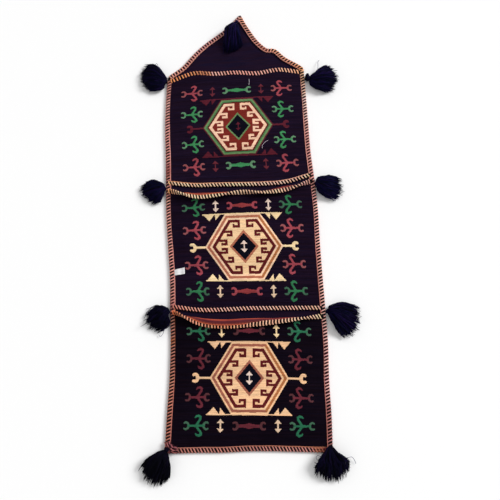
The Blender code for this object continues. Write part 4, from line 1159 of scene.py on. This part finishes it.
def skirt_yarns(traits, start, along, sideways, root_z, fall, rng):
    """Centre lines of a skirt's yarns between its two edges, bunched at their cut ends."""
    count = SKIRT_YARNS
    open_ends = traits["openness"]
    share = (np.arange(count) + 0.5) / count
    rng.shuffle(share)
    level = rng.uniform(-1, 1, count)
    bunches = np.linspace(0.01, 0.99, BUNCHES) + rng.normal(0, 0.011, BUNCHES)
    nearest = np.argmin(abs(share[:, None] - bunches + 0.03 * level[:, None]), axis=1)
    drawn = np.clip(rng.uniform(0.4, 1.0, BUNCHES) * open_ends, 0, 1.1)
    tip_share = share + (bunches[nearest] - share) * drawn[nearest]
    longer = rng.normal(0, 0.0029, BUNCHES)[nearest] + rng.normal(0, 0.0028, count)
    longer = longer * open_ends - 0.0015
    longer = longer - 0.0035 * np.maximum(level, 0) - 0.0060 * (2 * share - 1) ** 6
    stray = rng.uniform(0, 1, count) < 0.09
    longer = np.where(stray, rng.uniform(-0.006, 0.009, count), longer)
    neck_side = sideways * NECK_RADIUS * 0.75
    stations = []
    edges = zip([neck_side[:2], *traits["left"]], [-neck_side[:2], *traits["right"]],
                ((0.40, 0.0, 0.0, 0.0), (0.85, 0.45, 0.0, 0.1), (1.0, 0.65, 0.1, 0.5),
                 (0.50, 1.0, 1.0, 1.0)))
    for left, right, (height, bow, fallen, bunched) in edges:
        at = np.clip(share + (tip_share - share) * bunched, 0.0, 1.0)
        round_out = np.sqrt(np.clip(4 * at * (1 - at), 0.02, 1))
        half = SKIRT_HEIGHT / 2 * height
        flat = np.array(left) * (1 - at)[:, None] + np.array(right) * at[:, None]
        ahead = traits["bow"] * bow * round_out ** 2 + longer * (bow == 1.0)
        middle = root_z - fall * fallen + half + max(0.0, NECK_RADIUS - half)
        z = middle + (half - 0.0010) * level * round_out
        stations.append(np.concatenate([flat, z[:, None]], 1) + along * ahead[:, None])
    if traits["hidden"]:
        over = np.clip(level * 1.6, 0, 1)
        top = NECK_RADIUS * 2 + 0.0012 + root_z
        stations[0] = stations[0] - along * traits["hidden"] * over[:, None]
        stations[0][:, 2] += over * (top - stations[0][:, 2])
    p = drawn_out(np.stack(stations))
    paths = []
    for t in np.linspace(0, 3, 10):
        i = min(int(t), 2)
        paths.append(curve_point(p[i], p[i + 1], p[i + 2], p[i + 3], t - i))
    paths = np.stack(paths, 1) + np.array([start[0], start[1], 0.0])
    t = np.linspace(0, 1, 10)[None, :, None]
    pace = rng.uniform(5, 13, (count, 1, 3))
    phase = rng.uniform(0, 2 * math.pi, (count, 1, 3))
    paths = paths + 0.0014 * open_ends * np.sin(pace * t + phase) * np.minimum(t * 2, 1)
    ground = root_z - fall + 0.0010
    paths[:, 5:, 2] = np.maximum(paths[:, 5:, 2], ground)
    paths[..., 2] = np.maximum(paths[..., 2], TABLE_CLEARANCE)
    return paths


def yarn_tubes(paths, radius, colours, sides, taper):
    """Tubes of yarn along many paths."""
    run = unit(np.gradient(paths, axis=1))
    flat = np.cross(run, np.array([0, 0, 1.0]))
    flat /= np.maximum(np.linalg.norm(flat, axis=-1, keepdims=True), 1e-6)
    up = np.cross(flat, run)
    radii = (radius[:, None] * taper[None])[..., None]
    return thread_mesh(paths, flat * radii, up * radii, colours, False, sides)


def navy(rng, count, blueness_and_sheen):
    """Nearly black navy wool, some yarns bluer or more purple; the bluer and more violet yarns are
    partly a painted sheen.
    """
    # The blue and violet tones stand partly for a painted sheen, set per tassel
    blue = dye(4, 4, 14) * (1 - blueness_and_sheen) + dye(10, 12, 52) * blueness_and_sheen
    black = dye(2, 2, 6)
    violet = dye(12, 6, 22) * (1 - blueness_and_sheen) + dye(30, 16, 66) * blueness_and_sheen
    mix = rng.uniform(0, 1, (count, 1)) ** 1.3
    tint = rng.uniform(0, 1, (count, 1)) ** 4
    return (black + (blue - black) * mix) * (1 - tint) + violet * tint


def tassel_skirt(place, traits, neck_end, along, sideways, root_z, fall, rng):
    """Skirt of single yarns with the few that have come loose."""
    paths = skirt_yarns(traits, neck_end + along * SEWN_GAP, along, sideways, root_z, fall, rng)
    count = len(paths)
    taper = np.array([0.8, 1, 1, 1, 1, 1, 1, 1, 0.9, 0.3])
    parts = [yarn_tubes(paths, rng.uniform(0.0007, 0.0011, count),
                        navy(rng, count, traits["blueness_and_sheen"]), 5, taper)]
    for loose in traits["loose"]:
        flat = catmull(loose, 0.0016) + neck_end[:2]
        height = np.linspace(0.011, 0.003, len(flat))[:, None] + root_z - fall
        parts.append(yarn_tubes(np.concatenate([flat, height], 1)[None], np.array([0.0005]),
                                dye(96, 96, 118)[None], 5, np.ones(len(flat))))
    skirt = thread_piece("tassel_yarns_" + place, parts, TASSEL_WOOL)
    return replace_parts(skirt, f"tassel_{place}_skirt")


def tassel_neck(place, traits, root, along, sideways, root_z, rng):
    """Neck of yarn wound round a core."""
    length = traits["neck"]
    turns = max(3, round(length / 0.0017))
    at = (np.arange(turns) + 0.5) / turns
    knot = traits["stoutness"]
    girth = np.interp(at, (0, 0.3, 0.7, 1), (0.66, knot, knot, 0.78)) * (NECK_RADIUS - 0.0009)
    centre_z = np.interp(at, (0, 0.4, 1), (EDGE_THICKNESS / 2, NECK_RADIUS, NECK_RADIUS))
    centre_z = np.maximum(centre_z, girth + TABLE_CLEARANCE)
    upward = np.array([0, 0, 1.0])
    centre = (np.array([root[0], root[1], root_z]) + along * (length * at)[:, None]
              + upward * centre_z[:, None])
    turn = 2 * math.pi * np.arange(14) / 14
    tilt = rng.uniform(-0.0006, 0.0006, (turns, 1, 1)) * np.cos(turn)[None, :, None] * along
    round_out = sideways * np.cos(turn)[:, None] + upward * np.sin(turn)[:, None]
    loops = centre[:, None] + round_out[None] * girth[:, None, None] + tilt
    wide = np.tile(along * (0.55 * length / turns), (turns, 14, 1))
    thick = np.tile(round_out * 0.0009, (turns, 1, 1))
    parts = [thread_mesh(loops, wide, thick, navy(rng, turns, traits["blueness_and_sheen"]), True, 6)]
    axis = np.concatenate([centre[:1], centre, centre[-1:] + along * 0.0004])[None]
    body = np.concatenate([girth[:1] * 0.3, girth, girth[-1:] * 0.5])[None, :, None]
    parts.append(thread_mesh(axis, np.tile(sideways, (1, turns + 2, 1)) * body,
                             np.tile(upward, (1, turns + 2, 1)) * body, dye(6, 6, 16)[None],
                             False, 12))
    neck = thread_piece("tassel_neck_" + place, parts, TASSEL_WOOL)
    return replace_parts(neck, f"tassel_{place}_neck")


def tassel(place, root, root_z, fall, seed):
    """Skirt and neck of a tassel whose neck starts at root, root_z above the table."""
    rng = np.random.default_rng(seed)
    traits = {**USUAL_TASSEL, **TASSELS[place]}
    heading = math.radians(traits["heading_deg"])
    along = np.array([math.cos(heading), math.sin(heading), 0.0])
    sideways = np.array([-along[1], along[0], 0.0])
    neck_end = root + along * traits["neck"]
    return [tassel_skirt(place, traits, neck_end, along, sideways, root_z, fall, rng),
            tassel_neck(place, traits, root, along, sideways, root_z, rng)]


def beside_edge(side, y):
    """Place against the outside of a side edge."""
    run = lay(side * HALF_WIDTH, y + 0.011, 0.0) - lay(side * HALF_WIDTH, y - 0.011, 0.0)
    away = np.array([run[1], -run[0], 0.0]) * side / np.linalg.norm(run)
    return lay(side * HALF_WIDTH, y, 0.0) + away * SEWN_GAP


def all_tassels():
    on_edge = EDGE_THICKNESS + SEWN_GAP
    made = []
    seed = 60
    for row, level in ((LAST_ROW, "shoulder"), (LAST_ROW - 1, "waist"), (1, "hip")):
        for side, hand in ((-1, "left"), (1, "right")):
            place = level + "_" + hand
            root = beside_edge(side, row * POCKET_PITCH + TASSELS[place]["above_row"])
            made += tassel(place, root, 0.0, 0.0, seed)
            seed += 1
    corner = lay(-HALF_WIDTH + HEM_LEFT_TUCK, HEM_LEFT_RISE, 0.0)
    made += tassel("hem_left", corner, on_edge, on_edge, 70)
    made += tassel("hem_right", lay(EDGE_LINE_X, -HALF_BINDING, 0.0), on_edge, on_edge, 71)
    point = lay(FLAP_POINT[0] + FLAP_TASSEL_SHIFT[0],
                SHOULDER_Y + FLAP_POINT[1] + FLAP_TASSEL_SHIFT[1], 0.0)
    made += tassel("flap", point, on_edge, on_edge - CLOTH - SEWN_GAP, 72)
    return made


# Label and lint

def blank_tape(front):
    """Blank white tape label that comes out of the left edge."""
    share = np.linspace(0, 1, 13)
    x = np.broadcast_to(-PANEL_HALF - 0.001 + 0.0245 * share, (9, 13))
    low = 0.0830 + 0.0035 * share
    tall = 0.0140 + 0.0014 * share
    y = low + tall * np.linspace(0, 1, 9)[:, None]
    lift = 0.0013 * np.sin(share * 5.0) ** 2 + 0.0006 * np.sin(y * 900)
    top = front.point(x, y, CLOTH + 0.0012 + lift)
    under = front.point(x, y, CLOTH + 0.0006 + lift)
    white = np.ones((8, 12, 3)) * 0.8
    piece = closed_cloth("blank_tape", x, y, top, under, list(range(13)), list(range(9)), white,
                         white, TAPE)
    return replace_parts(piece, "side_tag")


def lint(name, front, points, radius, colour):
    """Loose fibre lying on a pocket front."""
    points = catmull(points, 0.0015)
    places = front.point(points[:, 0], points[:, 1], CLOTH + 0.0020)[None]
    tone = np.array([colour])
    taper = np.ones(places.shape[1])
    taper[[0, -1]] = 0.4
    tubes = yarn_tubes(places, np.array([radius]), tone, 5, taper)
    return thread_piece(name, [tubes], OVERCAST)


# The bag

def bright_medallion(band_dye, line_dye, field_dye):
    return (medallion((0.0037, 0.0058, 0.0042, 0.0072, 0.0),
                      (line_dye, band_dye, line_dye, "maroon", field_dye), "maroon", 0.0061)
            + right_slants(0.0037, 0.0095, "gold")
            + diamond(0.0330, 0.0402, 0.0048, band_dye, "night", "petal", 1.0))


dusky_medallion = medallion((0.0030, 0.0044, 0.0026, 0.0038, 0.0068, 0.0),
                            ("wine", "leaf", "moss", "maroon", "milk", "brick"), "milk", 0.0052)
dusky_medallion += diamond(0.0315, 0.0390, 0.0036, "leaf", "night", "wine", 0.8)

upper_pattern = pocket_pattern("wine", "green", ("plum", "plum"),
                               ("rose", "green", "green", "rose"), dusky_medallion)
middle_pattern = pocket_pattern("straw", "dusk_rose", ("petal", "linen"),
                                ("fern", "rose", "rose", "fern"),
                                widened(bright_medallion("salmon", "shell", "oat"), 1.035),
                                0.1008)
lower_pattern = pocket_pattern("cream", "plum", ("straw", "linen"),
                               ("sage", "plum", "plum", "sage"),
                               bright_medallion("russet", "cream", "cream"))

lower = Front(0, HEM_LINE, HALF_BINDING, LOWER_MOUTH_DROP, LOWER_LIP, 0.0140)
middle = Front(1, MIDDLE_FOOT_LINE, HALF_FOOT_BINDING, MIDDLE_MOUTH_DROP, MIDDLE_LIP, 0.0110)
upper = Front(2, UPPER_FOOT_LINE, HALF_FOOT_BINDING, UPPER_MOUTH_DROP, UPPER_LIP, 0.0090)

back = back_panel()
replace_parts(back, "back_panel")
for place, front, shapes, ground, shift, aside, lean, seed in (
        ("lower", lower, lower_pattern, LOWER_GROUND, 0.0010, 0.0, 0.0, 101),
        ("middle", middle, middle_pattern, MIDDLE_GROUND, -0.0075, 0.0, 0.0, 102),
        ("upper", upper, upper_pattern, UPPER_GROUND, -0.0045, 0.0030, 0.012, 103)):
    piece = pocket_front("woven_front_" + place, front, shapes, ground, POCKET_PITCH / 2 + shift,
                         aside, lean, seed)
    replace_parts(piece, "pocket_front_" + place)

# Thread colours from left to right or from the hem upwards: share of the way, light, dark
faded = dye(200, 134, 124)
plain = dye(166, 96, 88)
rust = dye(58, 18, 24)
left_edge_tones = [(0.0, dye(200, 124, 106), SOOT), (0.10, dye(198, 122, 100), SOOT),
                   (0.16, dye(206, 134, 112), SOOT), (0.270, dye(202, 130, 110), SOOT),
                   (0.280, dye(196, 112, 66), dye(120, 60, 40)), (0.290, dye(204, 132, 112), SOOT),
                   (0.345, dye(208, 138, 124), SOOT), (0.360, faded, dye(88, 42, 46)),
                   (0.385, faded, dye(88, 42, 46)), (0.400, dye(208, 142, 130), SOOT),
                   (0.470, dye(232, 158, 148), SOOT), (0.640, dye(236, 162, 150), SOOT),
                   (0.712, dye(222, 146, 134), SOOT), (0.722, plain, dye(126, 68, 64)),
                   (0.747, plain, dye(126, 68, 64)), (0.757, dye(228, 152, 142), SOOT),
                   (0.860, dye(240, 164, 154), SOOT), (0.920, dye(250, 176, 166), SOOT),
                   (1.0, dye(228, 152, 136), dye(60, 24, 26))]
left_inner_tones = [(0.0, dye(188, 116, 104)), (0.25, dye(186, 110, 92)), (0.28, dye(190, 104, 64)),
                    (0.34, dye(170, 92, 66)), (0.36, PINK), (0.70, PINK),
                    (0.72, dye(206, 128, 118)), (0.76, dye(232, 160, 150)),
                    (1.0, dye(230, 158, 146))]
# Near the top of the right edge the light thread is paler, partly yarn colour and partly a painted
# highlight
right_edge_tones = [(0.0, dye(176, 112, 110), SOOT), (0.11, dye(184, 120, 116), SOOT),
                    (0.15, dye(236, 178, 172), rust), (0.255, dye(240, 180, 172), rust),
                    (0.34, dye(244, 184, 172), SOOT), (0.50, dye(246, 178, 166), SOOT),
                    (0.64, dye(246, 178, 168), SOOT), (0.69, dye(234, 164, 156), dye(76, 34, 36)),
                    (0.80, dye(224, 158, 150), dye(84, 40, 40)), (0.84, dye(246, 186, 176), rust),
                    (0.92, dye(255, 208, 192), rust), (1.0, dye(246, 184, 140), SOOT)]
right_inner_tones = [(0.0, dye(176, 108, 98)), (0.3, dye(188, 116, 106)), (0.6, dye(196, 124, 114)),
                     (0.72, dye(226, 154, 142)), (1.0, dye(226, 152, 132))]
flap_left_tones = [(0.0, dye(240, 166, 146), dye(50, 18, 18)),
                   (0.5, dye(226, 156, 152), dye(64, 26, 32)),
                   (1.0, dye(228, 168, 160), dye(110, 60, 64))]
flap_right_tones = [(0.0, ORANGE, dye(40, 14, 12)), (0.2, PEACH, SOOT), (0.42, PEACH, SOOT),
                    (0.5, dye(214, 140, 122), dye(120, 62, 54)),
                    (0.56, dye(218, 144, 126), dye(90, 42, 38)),
                    (0.62, dye(230, 158, 142), SOOT), (1.0, PEACH, SOOT)]
flap_inner_tones = [(0.0, dye(214, 142, 122)), (1.0, dye(226, 160, 146))]
hem_tones = [(0.0, dye(112, 60, 66), dye(34, 12, 22)), (0.06, dye(122, 66, 68), dye(32, 12, 20)),
             (0.09, dye(196, 126, 112), SOOT), (0.60, dye(204, 136, 126), SOOT),
             (0.90, dye(204, 138, 130), dye(40, 12, 16)), (0.92, dye(204, 128, 104), dye(156, 90, 72)),
             (0.96, dye(202, 122, 96), dye(150, 84, 62)), (0.98, dye(120, 46, 50), dye(60, 20, 24)),
             (1.0, dye(90, 34, 42), dye(50, 16, 22))]
middle_foot_tones = [(0.0, dye(204, 126, 110), SOOT), (0.15, dye(250, 176, 156), SOOT),
                     (0.6, dye(255, 196, 174), SOOT), (1.0, dye(255, 190, 166), SOOT)]
upper_foot_tones = [(0.0, dye(244, 166, 106), dye(50, 20, 12)), (0.04, CREAM, dye(40, 16, 12)),
                    (0.5, dye(255, 214, 176), dye(36, 14, 12)), (0.75, dye(255, 204, 182), SOOT),
                    (1.0, CREAM, SOOT)]
lower_mouth_tones = [(0.0, dye(222, 112, 62), dye(60, 20, 14)), (0.1, PEACH, dye(48, 14, 14)),
                     (0.35, dye(246, 166, 124), dye(52, 14, 14)),
                     (0.6, dye(250, 190, 158), dye(36, 10, 12)), (1.0, CREAM, dye(30, 10, 10))]
middle_mouth_tones = [(0.0, ORANGE, dye(60, 22, 14)), (0.08, CREAM, SOOT), (0.7, CREAM, SOOT),
                      (0.9, dye(248, 186, 166), SOOT), (1.0, dye(240, 176, 166), SOOT)]
upper_mouth_tones = [(0.0, dye(240, 152, 98), dye(48, 18, 14)),
                     (0.20, dye(240, 156, 106), dye(52, 20, 16)),
                     (0.23, dye(210, 138, 102), dye(150, 88, 66)),
                     (0.31, dye(208, 134, 100), dye(140, 80, 60)),
                     (0.34, dye(250, 188, 174), dye(72, 14, 20)),
                     (0.5, dye(242, 166, 150), dye(50, 16, 18)),
                     (0.75, dye(250, 180, 164), SOOT), (1.0, dye(248, 180, 138), SOOT)]
orange_roll = [(0.0, dye(190, 92, 58)), (0.5, dye(180, 84, 62)), (1.0, dye(196, 104, 82))]
brown_roll = [(0.0, dye(120, 50, 44)), (1.0, dye(110, 46, 50))]

edges = [
    cross_edge("overcast_hem", "hem_binding", foot_line(0, HEM_LINE, 0.0, EDGE_THICKNESS, 0.004),
               HALF_BINDING, EDGE_THICKNESS, hem_tones, 11, 0.43, -0.30, 0.0071,
               [(0.0, dye(120, 70, 70)), (0.1, dye(188, 124, 108)), (1.0, dye(184, 114, 86))]),
    cross_edge("overcast_foot_middle", "foot_binding_middle",
               foot_line(1, MIDDLE_FOOT_LINE, FRONT_BASE, BINDING_THICKNESS, 0.005),
               HALF_FOOT_BINDING, BINDING_THICKNESS, middle_foot_tones, 12, 0.48, -STITCH_LEAN,
               0.0075),
    cross_edge("overcast_foot_upper", "foot_binding_upper",
               foot_line(2, UPPER_FOOT_LINE, FRONT_BASE, BINDING_THICKNESS, 0.005),
               HALF_FOOT_BINDING, BINDING_THICKNESS, upper_foot_tones, 13, 0.52, -STITCH_LEAN,
               0.0079,
               [(0.0, dye(232, 156, 112)), (1.0, dye(240, 178, 156))]),
    cross_edge("overcast_mouth_lower", "mouth_binding_lower", mouth_line(lower, 0.005),
               HALF_BINDING, BINDING_THICKNESS, lower_mouth_tones, 14, 0.52, -0.30,
               rolled=((-0.0052, 0.0014, (0.08, 0.60), brown_roll),
                       (-0.0026, 0.0016, (0.10, 0.52), orange_roll))),
    cross_edge("overcast_mouth_middle", "mouth_binding_middle", mouth_line(middle, 0.005),
               HALF_BINDING, BINDING_THICKNESS, middle_mouth_tones, 15, 0.50, 0.0,
               rolled=((-0.0046, 0.0016, (0.10, 0.50), orange_roll),)),
    cross_edge("overcast_mouth_upper", "mouth_binding_upper", mouth_line(upper, 0.003),
               HALF_BINDING, BINDING_THICKNESS, upper_mouth_tones, 16, 0.50, -0.10, 0.0080),
    side_edge("left", -1, left_edge_tones, left_inner_tones),
    side_edge("right", 1, right_edge_tones, right_inner_tones),
    flap_edge(flap_left_tones, flap_right_tones, flap_inner_tones), corner_knot()]

tassel_pieces = all_tassels()
tape = blank_tape(middle)
lint_pieces = [
    lint("lint_thread_straight", upper, [(0.0340, 0.2890), (0.0345, 0.2790), (0.0335, 0.2690)],
         0.0005, dye(225, 215, 225)),
    lint("lint_thread_curved", upper, [(0.0760, 0.1090), (0.0680, 0.1040), (0.0610, 0.0960),
                                       (0.0600, 0.0870)], 0.0005, dye(215, 200, 210))]


# Table, light and camera

bpy.ops.object.select_all(action="DESELECT")
bpy.ops.mesh.primitive_plane_add(size=14.0, location=(0, 0, 0))
table = bpy.context.active_object
table.name = "table"
table_material, tree, shader = new_material("pale_table", 0.7)
shader.inputs["Base Color"].default_value = (1.0, 1.0, 1.0, 1.0)
table.data.materials.append(table_material)

world = bpy.data.worlds.new("studio")
bpy.context.scene.world = world
world.use_nodes = True
room_light = world.node_tree.nodes["Background"]
room_light.inputs["Color"].default_value = (1.0, 1.0, 1.0, 1.0)
room_light.inputs["Strength"].default_value = 0.55

lamp = bpy.data.lights.new("window", "SUN")
lamp.energy = 2.45
lamp.angle = math.radians(24)
window = bpy.data.objects.new("window", lamp)
bpy.context.scene.collection.objects.link(window)
window.location = (2.5, 1.0, 1.9)
window.rotation_euler = Vector((-2.5, -1.0, -1.9)).to_track_quat("-Z", "Y").to_euler()

camera = bpy.data.objects.new("camera", bpy.data.cameras.new("camera"))
bpy.context.scene.collection.objects.link(camera)
camera.data.lens = 50.4
camera.data.sensor_width = 36.0
right = Vector((0.9993, -0.0384, 0.0)).normalized()
forward = Vector((0.0123, 0.3199, -0.9474)).normalized()
upward = right.cross(forward).normalized()
camera.matrix_world = Matrix((
    (right.x, upward.x, -forward.x, -0.0067), (right.y, upward.y, -forward.y, -0.5452),
    (right.z, upward.z, -forward.z, 1.5778), (0, 0, 0, 1)))
bpy.context.scene.camera = camera
bpy.context.scene.view_settings.view_transform = "Standard"
